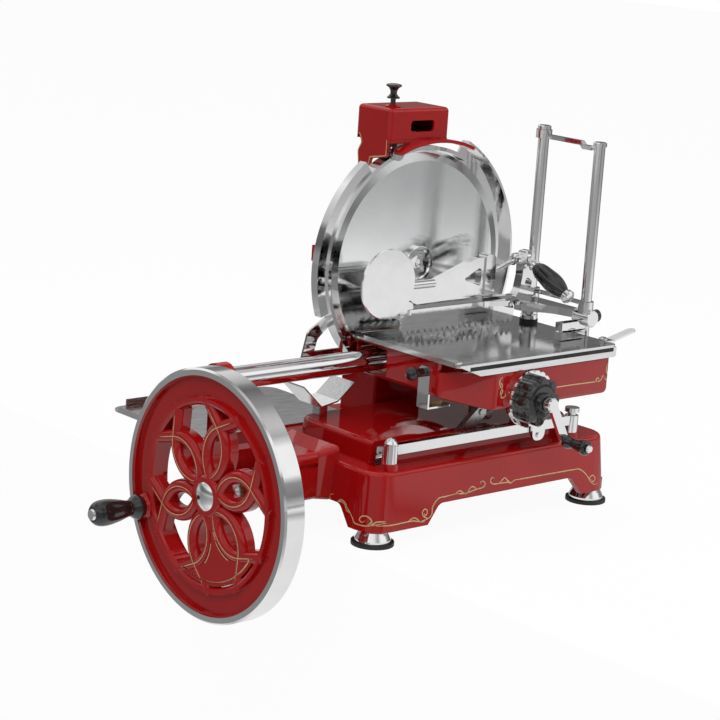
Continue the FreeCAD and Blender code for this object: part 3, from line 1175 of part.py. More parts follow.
def table_latch():
    """A spring catch with a black ball: its pin runs through the carriage's end wall."""
    radius, neck = 7.5, 5.0
    steps = [index * (math.pi - math.asin(neck / radius)) / 6 for index in range(7)]
    outline = [(-radius * math.cos(angle), radius * math.sin(angle)) for angle in steps]
    start = V(CAR_LEFT - 21, LATCH_Y, LATCH_Z)
    pin = turned([(outline[-1][0], neck), (18.4, neck), (18.4, LATCH_R), (32, LATCH_R)], start, ALONG_X)
    return turned_smooth(outline, start, ALONG_X).fuse(pin)


# Feed ---------------------------------------------------------------------------------------------------

def feed_ring():
    """The polished ring with notches that the thickness knob points to."""
    y = CAR_FRONT - FEED_RING_T
    body = ring(FEED_RING_R, KNOB_R - 6, V(FEED_X, y, FEED_Z), FEED_RING_T, ALONG_Y)
    for index in range(RING_NOTCHES):
        angle = 2 * math.pi * index / RING_NOTCHES
        centre = V(FEED_X + (FEED_RING_R + 1) * math.cos(angle), y - 1, FEED_Z + (FEED_RING_R + 1) * math.sin(angle))
        body = body.cut(rod(2.6, centre, 4, ALONG_Y))
    return body


def thickness_knob():
    """The black lobed knob: a crown of round lobes that tapers to its face."""
    y = CAR_FRONT - FEED_RING_T - FREE_GAP
    body = turned([(0, KNOB_R - 3), (KNOB_T - 5, KNOB_R - 4), (KNOB_T - 1, KNOB_R - 8), (KNOB_T, KNOB_R - 11),
                   (KNOB_T, 12), (KNOB_T + 5, 10.5), (KNOB_T + 6, 9)], V(FEED_X, y, FEED_Z), V(0, -1, 0))
    lobes = []
    for index in range(KNOB_LOBES):
        angle = 2 * math.pi * index / KNOB_LOBES
        centre = V(FEED_X + (KNOB_R - 7) * math.cos(angle), y, FEED_Z + (KNOB_R - 7) * math.sin(angle))
        lobes.append(turned([(0, 7), (KNOB_T - 4, 7), (KNOB_T - 1, 4.5)], centre, V(0, -1, 0)))
    body = fuse([body.common(rod(KNOB_R - 4, V(FEED_X, y + 1, FEED_Z), KNOB_T + 10, V(0, -1, 0)))] + lobes)
    return body.cut(rod(FEED_R + RUN_FIT, V(FEED_X, y + 1, FEED_Z), KNOB_T + 12, V(0, -1, 0)))


def feed_screw():
    """The screw that moves the table; it turns in the carriage's front boss."""
    front = CAR_FRONT - FEED_RING_T - KNOB_T - 17
    end = TUBE_Y - TUBE_R - 4
    return rod(FEED_R, V(FEED_X, front, FEED_Z), end - front, ALONG_Y).fuse(
        rod(FEED_R + 4, V(FEED_X, CAR_FRONT + CAR_WALL + 3 + FREE_GAP, FEED_Z), 5, ALONG_Y))


def feed_crank():
    """The small chrome crank on the screw's end: a hub, a cranked flat arm and the grip's pin."""
    y = CAR_FRONT - FEED_RING_T - KNOB_T - 17
    hub = turned([(0, 7), (1.5, 8.5), (9, 8.5)], V(FEED_X, y, FEED_Z), ALONG_Y)
    start = V(FEED_X, y, FEED_Z)
    end = start + V(CRANK_ARM_X, 0, CRANK_ARM_Z)
    arm = bar_with_eyes(start, end, 11, 5, 0, 0)
    pin = rod(2.5, end - V(0, FEED_GRIP_L + 1.5, 0), FEED_GRIP_L + 3, ALONG_Y)
    cap = turned([(0, 3.5), (2, 4.5), (3.2, 4.5)], end - V(0, FEED_GRIP_L + 4, 0), ALONG_Y)
    return fuse([feed_screw(), hub, arm, pin, cap])


def feed_grip():
    """The black grip of the small crank; it swells towards its end."""
    y = CAR_FRONT - FEED_RING_T - KNOB_T - 17 - FREE_GAP
    body = turned_smooth([(0, 7.2), (3, 7.6), (9, 6.2), (18, 6.4), (27, 8.6), (31, 8.6), (FEED_GRIP_L - 1.0, 6.5)],
                         V(FEED_X + CRANK_ARM_X, y, FEED_Z + CRANK_ARM_Z), V(0, -1, 0))
    return body.cut(rod(2.5 + RUN_FIT, V(FEED_X + CRANK_ARM_X, y + 1, FEED_Z + CRANK_ARM_Z), FEED_GRIP_L + 4,
                        V(0, -1, 0)))


def feed_nut():
    """The block under the table that the feed screw runs through."""
    y0 = TUBE_Y - TUBE_R - 22
    body = block(FEED_X - 9, FEED_X + 9, y0, y0 + 14, FEED_Z - 10, TABLE_UNDER)
    return body.cut(rod(FEED_R + RUN_FIT, V(FEED_X, y0 - 1, FEED_Z), 16, ALONG_Y))


# Product table ------------------------------------------------------------------------------------------

def table_plate():
    """The polished table with its folded front edge, cut back at the left."""
    top = plate([(V(TABLE_LEFT, TABLE_FRONT, TABLE_UNDER), 5), (V(TABLE_RIGHT, TABLE_FRONT, TABLE_UNDER), 8),
                 (V(TABLE_RIGHT, TABLE_BACK, TABLE_UNDER), 3), (V(TABLE_LEFT, TABLE_BACK, TABLE_UNDER), 3)],
                V(0, 0, TABLE_T))
    low = TABLE_Z - TABLE_LIP
    lip = plate([(V(TABLE_LEFT + 6, TABLE_FRONT, TABLE_UNDER), 0), (V(TABLE_LEFT + 36, TABLE_FRONT, low), 4),
                 (V(TABLE_RIGHT - 2, TABLE_FRONT, low), 3), (V(TABLE_RIGHT - 2, TABLE_FRONT, TABLE_UNDER), 0)],
                V(0, 2.2, 0))
    stud_holes = [rod(COL_R, V(COL_X, y, TABLE_UNDER - 1), TABLE_T + 2, ALONG_Z) for y in (COL_REAR_Y, COL_FRONT_Y)]
    return fuse([cut(top.fuse(lip), stud_holes), table_trim(), table_comb(), tongue_screw()])


def table_trim():
    """The raised strip along the table's left edge."""
    points = [(V(TABLE_LEFT, TABLE_FRONT + 4, TABLE_Z), 3), (V(TABLE_LEFT + TRIM_W, TABLE_FRONT + 4, TABLE_Z), 3),
              (V(TABLE_LEFT + TRIM_W, TABLE_BACK - 18, TABLE_Z), 3), (V(TABLE_LEFT, TABLE_BACK - 18, TABLE_Z), 3)]
    return plate(points, V(0, 0, TRIM_H))


def table_comb():
    """The low row of points on the table that keeps the meat from sliding."""
    y = PRESS_Y + 14
    step = 12.0
    count = 13
    x0 = PRESS_LEFT + 18
    body = block(x0, x0 + count * step, y, y + 1.5, TABLE_Z, TABLE_Z + 2)
    for index in range(count):
        x = x0 + index * step
        tooth = Part.Face(Part.makePolygon([V(x + 3, y, TABLE_Z + 1.9), V(x + 9, y, TABLE_Z + 1.9),
                                            V(x + 6, y, TABLE_Z + 8), V(x + 3, y, TABLE_Z + 1.9)]))
        body = body.fuse(tooth.extrude(V(0, 1.5, 0)))
    return body


def columns():
    """The two polished columns with their caps, screwed into the table, and the stop ring on the rear one."""
    rear_cap = turned([(0, COL_R + 1.5), (3.5, COL_R + 1.5), (4.5, COL_R)],
                      V(COL_X, COL_REAR_Y, BAR_Z + EYE_H + FREE_GAP), ALONG_Z)
    front_cap = turned([(0, COL_R + 1.5), (4, COL_R + 1.5), (5, COL_R)], V(COL_X, COL_FRONT_Y, COL_TOP - 4), ALONG_Z)
    rear = rod(COL_R, V(COL_X, COL_REAR_Y, TABLE_UNDER), BAR_Z + EYE_H + FREE_GAP - TABLE_UNDER, ALONG_Z)
    front = rod(COL_R, V(COL_X, COL_FRONT_Y, TABLE_UNDER), COL_TOP - 4 - TABLE_UNDER, ALONG_Z)
    stop = turned([(0, COLLAR_R), (STOP_H - 1.5, COLLAR_R), (STOP_H, COLLAR_R - 1.5)],
                  V(COL_X, COL_REAR_Y, TABLE_Z + COLLAR_H), ALONG_Z)
    return Part.makeCompound([fuse([rear, rear_cap, stop]), front.fuse(front_cap)])


def column_collar():
    """The rubber buffer at the foot of the rear column."""
    return ring(COLLAR_R + 0.5, COL_R, V(COL_X, COL_REAR_Y, TABLE_Z), COLLAR_H, ALONG_Z)


def top_bar():
    """The bar at the columns' tops: an eye on the rear one, and a free end that steps down before the front one."""
    eye = ring(COL_R + 3, COL_R + RUN_FIT, V(COL_X, COL_REAR_Y, BAR_Z), EYE_H, ALONG_Z)
    near = COL_REAR_Y - COL_R - 1
    bend = COL_FRONT_Y + COL_R + 18
    end = COL_FRONT_Y + COL_R + 4
    drop = 4.0
    x, z = COL_X - 3.5, BAR_Z
    bar = plate([(V(x, near, z), 0), (V(x, bend + drop, z), 1), (V(x, bend, z - drop), 1), (V(x, end, z - drop), 0),
                 (V(x, end, z - drop + BAR_T), 2), (V(x, bend - 1, z - drop + BAR_T), 1),
                 (V(x, bend + drop - 1, z + BAR_T), 1), (V(x, near, z + BAR_T), 0)], V(7, 0, 0))
    return fuse([eye, bar])


def tongue_lever():
    """The flat lever at the table's right front corner, turned up to an oval tip."""
    z = TABLE_Z + 0.1
    strip = plate([(V(TONGUE_X - 7, TONGUE_Y - 7, z), 6.5), (V(TONGUE_X + 14, TONGUE_Y - 7, z), 2),
                   (V(TONGUE_X + 14, TONGUE_Y + 7, z), 2), (V(TONGUE_X - 7, TONGUE_Y + 7, z), 6.5)], V(0, 0, 2.4))
    rise = Part.Face(Part.makePolygon([V(TONGUE_X + 12, TONGUE_Y - 6, z), V(TONGUE_X + 52, TONGUE_Y - 6, z + 9),
                                       V(TONGUE_X + 52, TONGUE_Y - 6, z + 11.4), V(TONGUE_X + 12, TONGUE_Y - 6, z + 2.4),
                                       V(TONGUE_X + 12, TONGUE_Y - 6, z)])).extrude(V(0, 12, 0))
    blank = plate([(V(TONGUE_X + 8, TONGUE_Y - 6, z - 1), 0), (V(TONGUE_X + 52, TONGUE_Y - 6, z - 1), 5.9),
                   (V(TONGUE_X + 52, TONGUE_Y + 6, z - 1), 5.9), (V(TONGUE_X + 8, TONGUE_Y + 6, z - 1), 0)],
                  V(0, 0, 16))
    hole = rod(3 + RUN_FIT, V(TONGUE_X, TONGUE_Y, z - 1), 5, ALONG_Z)
    return fuse([strip, rise.common(blank)]).cut(hole)


def tongue_screw():
    """The screw that the tongue lever turns on."""
    head = turned([(0, 5.5), (1.5, 5.5), (3, 3)], V(TONGUE_X, TONGUE_Y, TABLE_Z + 3), ALONG_Z)
    return head.fuse(rod(3, V(TONGUE_X, TONGUE_Y, TABLE_Z), 3.2, ALONG_Z))


# Meat press ---------------------------------------------------------------------------------------------

def press_slide():
    """The carrier on both columns: the long arm's root on the rear one, and a curved branch to the front one."""
    low = TABLE_Z + COLLAR_H + STOP_H + 1
    top = ARM_Z + ARM_T + 6
    neck = rod(COL_R + 4, V(COL_X, COL_REAR_Y, low), top - low, ALONG_Z)
    leaf = plate([(V(PRESS_LEFT - 4, PRESS_Y - 12, ARM_Z), 8), (V(60, PRESS_Y - 12, ARM_Z), 30),
                  (V(92, PRESS_Y - 22, ARM_Z), 25), (V(132, PRESS_Y - 16, ARM_Z), 12),
                  (V(COL_X + 2, COL_REAR_Y - 8, ARM_Z), 0), (V(COL_X + 2, COL_REAR_Y + 8, ARM_Z), 0),
                  (V(120, PRESS_Y + 12, ARM_Z), 12), (V(PRESS_LEFT - 4, PRESS_Y + 12, ARM_Z), 8)],
                 V(0, 0, ARM_T))
    rib = block(PRESS_LEFT, COL_X - 8, PRESS_Y - 2.5, PRESS_Y + 2.5, ARM_Z + ARM_T - 1, ARM_Z + ARM_T + 2)
    bores = [rod(COL_R + RUN_FIT, V(COL_X, y, TABLE_Z), 80, ALONG_Z) for y in (COL_REAR_Y, COL_FRONT_Y)]
    wing_bore = rod(3, V(COL_X + COL_R, COL_FRONT_Y, PRESS_Z), 12)
    parts = [neck, leaf, rib, press_head(), head_pin(), clamp_links()] + press_branch() + press_clips() + clamp_fork()
    return cut(fuse(parts), bores + [wing_bore])


def press_branch():
    """The curved branch under the arm, the round boss on the front column, and the thin bar above them."""
    z = ARM_Z - 9
    curve = plate([(V(COL_X - 42, PRESS_Y - 4, z), 6), (V(COL_X - 40, PRESS_Y - 18, z), 14),
                   (V(COL_X - 16, COL_FRONT_Y + 40, z), 40), (V(COL_X - 6, COL_FRONT_Y + 4, z), 0),
                   (V(COL_X + 5, COL_FRONT_Y + 4, z), 0), (V(COL_X + 5, COL_REAR_Y, z), 0)], V(0, 0, 9.5))
    boss = turned([(-13, 9), (-12, 10), (12, 10)], V(COL_X, COL_FRONT_Y, PRESS_Z), ALONG_Y)
    collar = rod(COL_R + 2.5, V(COL_X, COL_FRONT_Y, PRESS_Z), ARM_Z + ARM_T + 6 - PRESS_Z, ALONG_Z)
    bar = block(COL_X - 3, COL_X + 3, COL_FRONT_Y, COL_REAR_Y, ARM_Z + ARM_T + 1, ARM_Z + ARM_T + 5)
    return [curve, boss, collar, bar]


def press_clips():
    """Two folded straps, one above the other, at the left of the front column, with the pin through them."""
    x0 = COL_X - 43
    straps = []
    for z in (PRESS_Z - 23, PRESS_Z - 12):
        outer = block(x0, COL_X, COL_FRONT_Y - 5.5, COL_FRONT_Y + 5.5, z, z + 9)
        straps.append(outer.cut(block(x0 + 5, COL_X + 1, COL_FRONT_Y - 3.5, COL_FRONT_Y + 3.5, z - 1, z + 10)))
    pin = rod(2.5, V(x0 + 4, COL_FRONT_Y, PRESS_Z - 23), 20, ALONG_Z)
    return straps + [pin]


def clamp_fork():
    """The two cheeks at the head's left with the pin that the clamp turns on."""
    root = V(HEAD_X - 10, 0, HEAD_Z)
    cheeks = [bar_with_eyes(V(CLAMP_PIVOT_X, y, HEAD_Z), root + V(0, y, 0), 11, 3, 0, 0)
              for y in (PRESS_Y - 6, PRESS_Y + 3)]
    return cheeks + [rod(CLAMP_PIVOT_R, V(CLAMP_PIVOT_X, PRESS_Y - 6, HEAD_Z), 12, ALONG_Y)]


def press_plate():
    """The toothed plate that bites on the meat, hung below the arm."""
    low = TABLE_Z + 5
    pitch = 9.0
    count = int((HEAD_X - 12 - PRESS_LEFT) / pitch)
    y = PRESS_Y - 1.5
    x1 = PRESS_LEFT + count * pitch
    web = plate([(V(PRESS_LEFT, y, low + 5), 0), (V(x1, y, low + 5), 0), (V(x1, y, ARM_Z - 5), 0),
                 (V(x1 - 10, y, ARM_Z), 0), (V(PRESS_LEFT + 6, y, ARM_Z), 4), (V(PRESS_LEFT, y, ARM_Z - 12), 4)],
                V(0, 3, 0))
    for index in range(count):
        x = PRESS_LEFT + index * pitch
        tooth = Part.Face(Part.makePolygon([V(x + 1, y, low + 5.2), V(x + pitch - 1, y, low + 5.2),
                                            V(x + pitch / 2, y, low), V(x + 1, y, low + 5.2)]))
        web = web.fuse(tooth.extrude(V(0, 3, 0)))
    return web.removeSplitter()


def press_head():
    """The curved arm that rises from the press arm to the head with the grip lever's fork."""
    y0 = PRESS_Y - 6
    top = HEAD_Z + 9
    outline = [(V(COL_X - 10, y0, ARM_Z + ARM_T), 0), (V(COL_X - 10, y0, ARM_Z + 22), 14),
               (V(HEAD_X + 9, y0, HEAD_Z - 14), 8), (V(HEAD_X + 9, y0, top), 7), (V(HEAD_X - 9, y0, top), 7),
               (V(HEAD_X - 9, y0, HEAD_Z - 20), 12), (V(COL_X - 34, y0, ARM_Z + ARM_T + 8), 16),
               (V(COL_X - 40, y0, ARM_Z + ARM_T), 0)]
    body = plate(outline, V(0, 12, 0))
    window = plate([(V(HEAD_X - 2, y0 - 1, HEAD_Z - 22), 3), (V(HEAD_X + 8, y0 - 1, HEAD_Z - 28), 3),
                    (V(COL_X - 15, y0 - 1, ARM_Z + 16), 3), (V(COL_X - 28, y0 - 1, ARM_Z + 16), 3)], V(0, 14, 0))
    room = rod(7, V(HEAD_X - 3.5, PRESS_Y, HEAD_Z), 7)
    front_room = block(HEAD_X - 3.5, HEAD_X + 3.5, y0 - 1, PRESS_Y, HEAD_Z - 9, HEAD_Z + 12)
    return cut(body, [window, room, front_room])


def head_pin():
    return rod(2.5, V(HEAD_X - 8, PRESS_Y, HEAD_Z), 17)


def grip_lever():
    """The lever in the head: an eye, a short arm and the chrome end that holds the egg shaped grip."""
    eye = rod(6.5, V(HEAD_X - 3, PRESS_Y, HEAD_Z), 6)
    reach = V(0, -math.cos(EGG_TILT), -math.sin(EGG_TILT))
    start = V(HEAD_X, PRESS_Y, HEAD_Z)
    arm = rod(2.9, start, 17, reach)
    collar = turned([(14, 6.5), (17, 7.5), (20, 6)], start, reach)
    stem = rod(2.5, start + reach * 19, EGG_L - 12, reach)
    cap = turned([(75.2, 4.5), (76.5, 8), (81, 8.5), (83, 7), (84, 4)], start, reach)
    return fuse([eye, arm, collar, stem, cap]).cut(rod(2.5 + RUN_FIT, V(HEAD_X - 4, PRESS_Y, HEAD_Z), 8))


def egg_grip():
    reach = V(0, -math.cos(EGG_TILT), -math.sin(EGG_TILT))
    start = V(HEAD_X, PRESS_Y, HEAD_Z) + reach * 20.2
    body = turned_smooth([(0, 6), (6, 9.2), (18, EGG_R), (32, EGG_R + 1), (46, EGG_R - 1.5), (55, 5)], start, reach)
    return body.cut(rod(2.5, start - reach, EGG_L, reach))


def wing_screw():
    """The screw that fixes the press on the front column: a stem and a round head."""
    start = V(COL_X + COL_R + 1, COL_FRONT_Y, PRESS_Z)
    stem = rod(3 - RUN_FIT, start, 14)
    head = turned([(4.5, 4), (6, 7), (13, 7.5), (15, 5.5)], start, ALONG_X)
    return fuse([stem, head])


def clamp_links():
    """Two riveted link plates at the left end of the press arm."""
    plates = []
    for y in (PRESS_Y - 10.5, PRESS_Y + 7.5):
        points = [(V(PRESS_LEFT - 12, y, ARM_Z - 9), 7), (V(PRESS_LEFT + 8, y, ARM_Z - 9), 7),
                  (V(PRESS_LEFT + 8, y, ARM_Z + ARM_T + 8), 7), (V(PRESS_LEFT - 12, y, ARM_Z + ARM_T + 12), 7)]
        plates.append(plate(points, V(0, 3, 0)))
    rivet = rod(3, V(PRESS_LEFT - 7, PRESS_Y - 13, ARM_Z - 3), 26, ALONG_Y)
    return fuse(plates + [rivet])


def clamp_rod():
    """The ribbed rod that hangs on the head's fork, with the block that it screws into."""
    slope = V(-math.cos(ROD_TILT), 0, -math.sin(ROD_TILT))
    start = V(CLAMP_PIVOT_X, PRESS_Y, HEAD_Z)
    half = V(0, 2.6, 0)
    eye = bar_with_eyes(start - half, start - half + slope * 8, 10, 5.2, CLAMP_PIVOT_R + RUN_FIT, 0)
    stem = rod(3.2, start + slope * 7, 40, slope)
    ribs = [rod(3.9, start + slope * (9 + 6 * index), 3, slope) for index in range(6)]
    x, y, low = BLOCK_CENTRE_X, PRESS_Y - 7, ARM_Z + 9
    body = plate([(V(x - 8, y, low), 4), (V(x + 8, y, low), 4), (V(x + 8, y, HEAD_Z + 7), 5),
                  (V(x - 8, y, HEAD_Z + 11), 5)], V(0, 14, 0))
    return [eye, stem, body] + ribs


def clamp_frame():
    """The triangular frame between the block and the disc, with its window."""
    y = PRESS_Y - 5
    x1 = BLOCK_CENTRE_X - 8
    base = ARM_Z + 10
    outline = [(V(x1, y, base + 4), 0), (V(x1, y, HEAD_Z + 6), 0), (V(x1 - 12, y, HEAD_Z + 6), 5),
               (V(-34, y, base + 19), 10), (V(-66, y, base + 19), 4), (V(-66, y, base + 11), 3),
               (V(-44, y, base), 6), (V(10, y, base + 1), 20)]
    body = plate(outline, V(0, 10, 0))
    window = plate([(V(x1 - 5, y - 1, base + 13), 3), (V(x1 - 5, y - 1, HEAD_Z - 4), 4),
                    (V(x1 - 34, y - 1, base + 23), 2)], V(0, 12, 0))
    back = DISC_Y + 3
    stub = rod(5, V(DISC_X + 21, back + 5.4, DISC_Z - 6), 55)
    pad = rod(7, V(DISC_X + 25, back, DISC_Z - 6), 5, ALONG_Y)
    return fuse([body.cut(window), stub, pad] + clamp_rod())


def clamp_disc():
    """The round mirror bright disc that presses on the end of the meat."""
    plate_disc = turned([(0, DISC_R - 0.8), (0.8, DISC_R), (2.2, DISC_R), (3, DISC_R - 0.8)],
                        V(DISC_X, DISC_Y, DISC_Z), ALONG_Y)
    return plate_disc


# Chute --------------------------------------------------------------------------------------------------

def chute():
    """The bent sheet below the carriage that leads scraps away from the tube, on a stay from the base."""
    y0, length, sheet = 14.0, 40.0, 2.0
    low, x = BLOCK_Z + 12, BLOCK_LEFT + 20
    under = [V(x - 28, y0, low + 26), V(x, y0, low), V(x + 24, y0, low + 4), V(x + 47, y0, low + 23)]
    over = [point + V(0, 0, sheet) for point in reversed(under)]
    trough = Part.Face(Part.makePolygon(under + over + [under[0]])).extrude(V(0, length, 0))
    stay = block(x + 2, x + 14, y0 + 6, y0 + 18, BLOCK_Z, low + sheet / 2)
    return trough.fuse(stay)


SUBPARTS = [
    base_casting,
    side_arm,
    foot_domes,
    foot_pads,
    rail_bar,
    rail_posts,
    guide_tube,
    shaft_bushes,
    lever_pin,
    drive_chain,
    blade_pedestal,
    blade_guard,
    guard_shield,
    slice_deflector,
    slice_tray,
    chute,
    sharpener_cover,
    sharpener_plate,
    sharpener_knob,
    sharpener_stones,
    flywheel_casting,
    flywheel_rim,
    hub_cap,
    main_shaft,
    drive_gear,
    handle_spindle,
    wheel_grip,
    cross_shaft,
    cross_gear,
    crank_disc,
    chain_sprocket,
    drive_lever,
    connecting_rod,
    blade,
    blade_hub,
    blade_arbor,
    carriage,
    tube_bushes,
    carriage_yoke,
    roller_bracket,
    rail_roller,
    latch_bracket,
    table_latch,
    feed_ring,
    thickness_knob,
    feed_crank,
    feed_grip,
    table_plate,
    feed_nut,
    columns,
    column_collar,
    top_bar,
    tongue_lever,
    press_slide,
    press_plate,
    grip_lever,
    egg_grip,
    wing_screw,
    clamp_frame,
    clamp_disc,
]


def build():
    os.makedirs("parts", exist_ok=True)
    for make in SUBPARTS:
        make().exportStep(f"parts/{make.__name__}.step")


build()
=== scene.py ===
"""Looks of the hand crank meat slicer: enamel, polished metal, black grips and gold pinstripes.

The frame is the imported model's: +X right along the carriage's travel, +Y back, +Z up. Blender's own lengths
are in metres, and the sizes of the painted lines and of the new pieces are in millimetres.
"""

import json
import math

import bmesh
import bpy
from mathutils import Matrix, Vector
from mathutils.bvhtree import BVHTree


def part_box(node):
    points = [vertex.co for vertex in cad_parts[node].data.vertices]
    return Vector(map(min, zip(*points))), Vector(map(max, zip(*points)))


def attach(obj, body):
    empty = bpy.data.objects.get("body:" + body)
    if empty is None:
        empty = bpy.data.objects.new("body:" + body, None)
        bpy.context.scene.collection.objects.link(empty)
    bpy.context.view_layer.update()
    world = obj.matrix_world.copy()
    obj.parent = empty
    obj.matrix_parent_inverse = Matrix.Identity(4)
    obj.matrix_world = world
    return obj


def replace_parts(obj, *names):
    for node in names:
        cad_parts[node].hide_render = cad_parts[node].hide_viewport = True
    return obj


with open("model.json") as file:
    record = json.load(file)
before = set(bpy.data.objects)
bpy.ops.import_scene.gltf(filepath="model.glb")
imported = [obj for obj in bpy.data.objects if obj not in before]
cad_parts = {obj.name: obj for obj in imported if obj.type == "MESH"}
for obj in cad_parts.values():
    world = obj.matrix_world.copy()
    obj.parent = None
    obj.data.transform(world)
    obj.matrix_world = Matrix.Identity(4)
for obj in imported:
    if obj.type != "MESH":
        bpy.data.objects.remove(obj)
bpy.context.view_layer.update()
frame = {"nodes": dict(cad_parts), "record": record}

NODES = frame["nodes"]
SLOT_OF = {row["node"]: row["material_slot"] for row in frame["record"]["subparts"]}

# Camera, at the photograph's viewing angle
AZIMUTH = math.radians(-41.98)
ELEVATION = math.radians(12.94)
ROLL = math.radians(3.80)
CAMERA_AT = Vector((-1.7288, -1.8077, 0.7334))
LENS_MM = 110.0
SENSOR_MM = 36.0
CLIP_NEAR, CLIP_FAR = 0.05, 60.0

# The counter's end that the slicer stands on, past which the flywheel hangs
COUNTER_EDGE_X = -0.206
COUNTER_DROP = 0.9
COUNTER_EDGE_R = 0.004
COUNTER_FRONT, COUNTER_FAR = 6.0, 8.0
FLOOR_REACH, FLOOR_T = 9.0, 0.05

# The wheel's sizes that the lines painted on it follow, in millimetres
WHEEL_Y, WHEEL_Z = -36.0, 58.0
PETALS = 6
PETAL_TURN = 20.0
PETAL_ROOT, PETAL_TIP, PETAL_HALF = 20.0, 80.0, 15.5
LEG_LENGTH = 24.0
FAN_ROOT, FAN_START, FAN_REACH = 36.0, 38.0, 92.5
FAN_NECK = 2.8
FAN_HALF = math.radians(40.5)

# The carriage's front wall, in millimetres
CAR_LEFT, CAR_RIGHT, CAR_FRONT, CAR_TOP, CAR_LOW = -85.0, 161.0, -146.0, 182.0, 154.0
CORNER_X, CORNER_Y = 56.0, 34.0
SKIRT_REAR_Y, SKIRT_END_Y = -100.0, -122.0
SKIRT_LOW = 140.0
SKIRT_PROUD = 0.35      # how far it covers the wall's outside
SKIRT_T = 5.0
SKIRT_RISE, SKIRT_END_RISE = 62.0, 22.0     # lengths over which its ends rise to the wall's lower edge
CORNER_STEPS = 6

# The sharpener's button: (share of its half width, millimetres below its top), from its foot up
BUTTON_STEM_R = 3.0
BUTTON_FOOT = 17.2
BUTTON = [(0.80, 17.0), (0.84, 15.6), (0.62, 14.2), (0.42, 11.6), (0.44, 8.5), (0.66, 5.0), (0.97, 3.4),
          (1.0, 2.4), (0.95, 1.2), (0.6, 0.4), (0.2, 0.0)]

# Widths of the painted lines, in millimetres
PETAL_LINE, FAN_LINE, COVER_LINE = 1.0, 1.1, 1.1
FRONT_SCROLL, END_SCROLL, CARRIAGE_SCROLL = 1.25, 1.3, 1.3
# Painted shade: a dark strip that stands for the shaded channel below the table's front edge; its middle and
# its width, in millimetres
CHANNEL_SHADE_Z, CHANNEL_SHADE_H = 192.6, 4.6
# Runs in each curve round the counterweight
CURVE_STEPS = 12

# What mirrors see of the room, as (position, level): by height, from the horizon to straight up, and by the
# turn about the vertical
ROOM_BY_HEIGHT = [(0.0, 0.55), (0.10, 0.22), (0.26, 0.30), (0.34, 1.0), (0.62, 1.0), (0.70, 0.45),
                  (0.86, 0.9)]
ROOM_AROUND = [(0.0, 1.0), (0.16, 0.9), (0.24, 0.35), (0.30, 1.0), (0.44, 1.0), (0.52, 0.45), (0.60, 0.3),
               (0.66, 1.0), (0.80, 1.0), (0.86, 0.5), (1.0, 1.0)]
# What mirrors see of the pale floor, out to FLOOR_SEEN metres from the object
FLOOR_SEEN = 3.0
FLOOR_BY_DISTANCE = [(0.0, 0.86), (0.30, 0.90), (0.50, 0.88), (0.66, 0.55), (1.0, 0.38)]
FLOOR_AROUND = [(0.0, 1.0), (0.20, 0.95), (0.26, 0.45), (0.30, 0.95), (0.40, 1.0), (0.45, 0.5), (0.52, 0.3),
                (0.58, 0.9), (0.80, 1.0), (0.88, 0.6), (1.0, 1.0)]
WHITE_SHARE = 0.95      # of the floor's look that is plain white; the rest keeps the shadow
SOFT_LIGHT = 0.5        # strength of the world's light on the object

# Lamps: name, place, width and height, power
LAMPS = [("key", (-1.6, -1.2, 2.2), (1.6, 1.2), 34.0), ("fill", (1.8, -2.0, 1.4), (1.4, 1.4), 16.0),
         ("top", (0.3, 0.6, 2.4), (1.8, 1.2), 22.0)]
LAMPS_AIM = (0.0, 0.0, 0.2)

# Painted lines: how far the paint stands off the surface, and how far apart its rows are
PAINT_LIFT = 0.00013
STROKE_STEP = 0.0011

# Where noise textures spend most of their values, which a span or a pair of colours spreads out
NOISE_LOW, NOISE_HIGH = 0.3, 0.7

# Views for painted lines: a point in front of the surface, across, up, and inward
LEFT_OF_WHEEL = (-0.45, 0, 0), (0, 1, 0), (0, 0, 1), (1, 0, 0)
LEFT_OF_BASE = (-0.25, 0, 0), (0, 1, 0), (0, 0, 1), (1, 0, 0)
IN_FRONT = (0, -0.2, 0), (1, 0, 0), (0, 0, 1), (0, 1, 0)


# Materials ----------------------------------------------------------------------------------------------

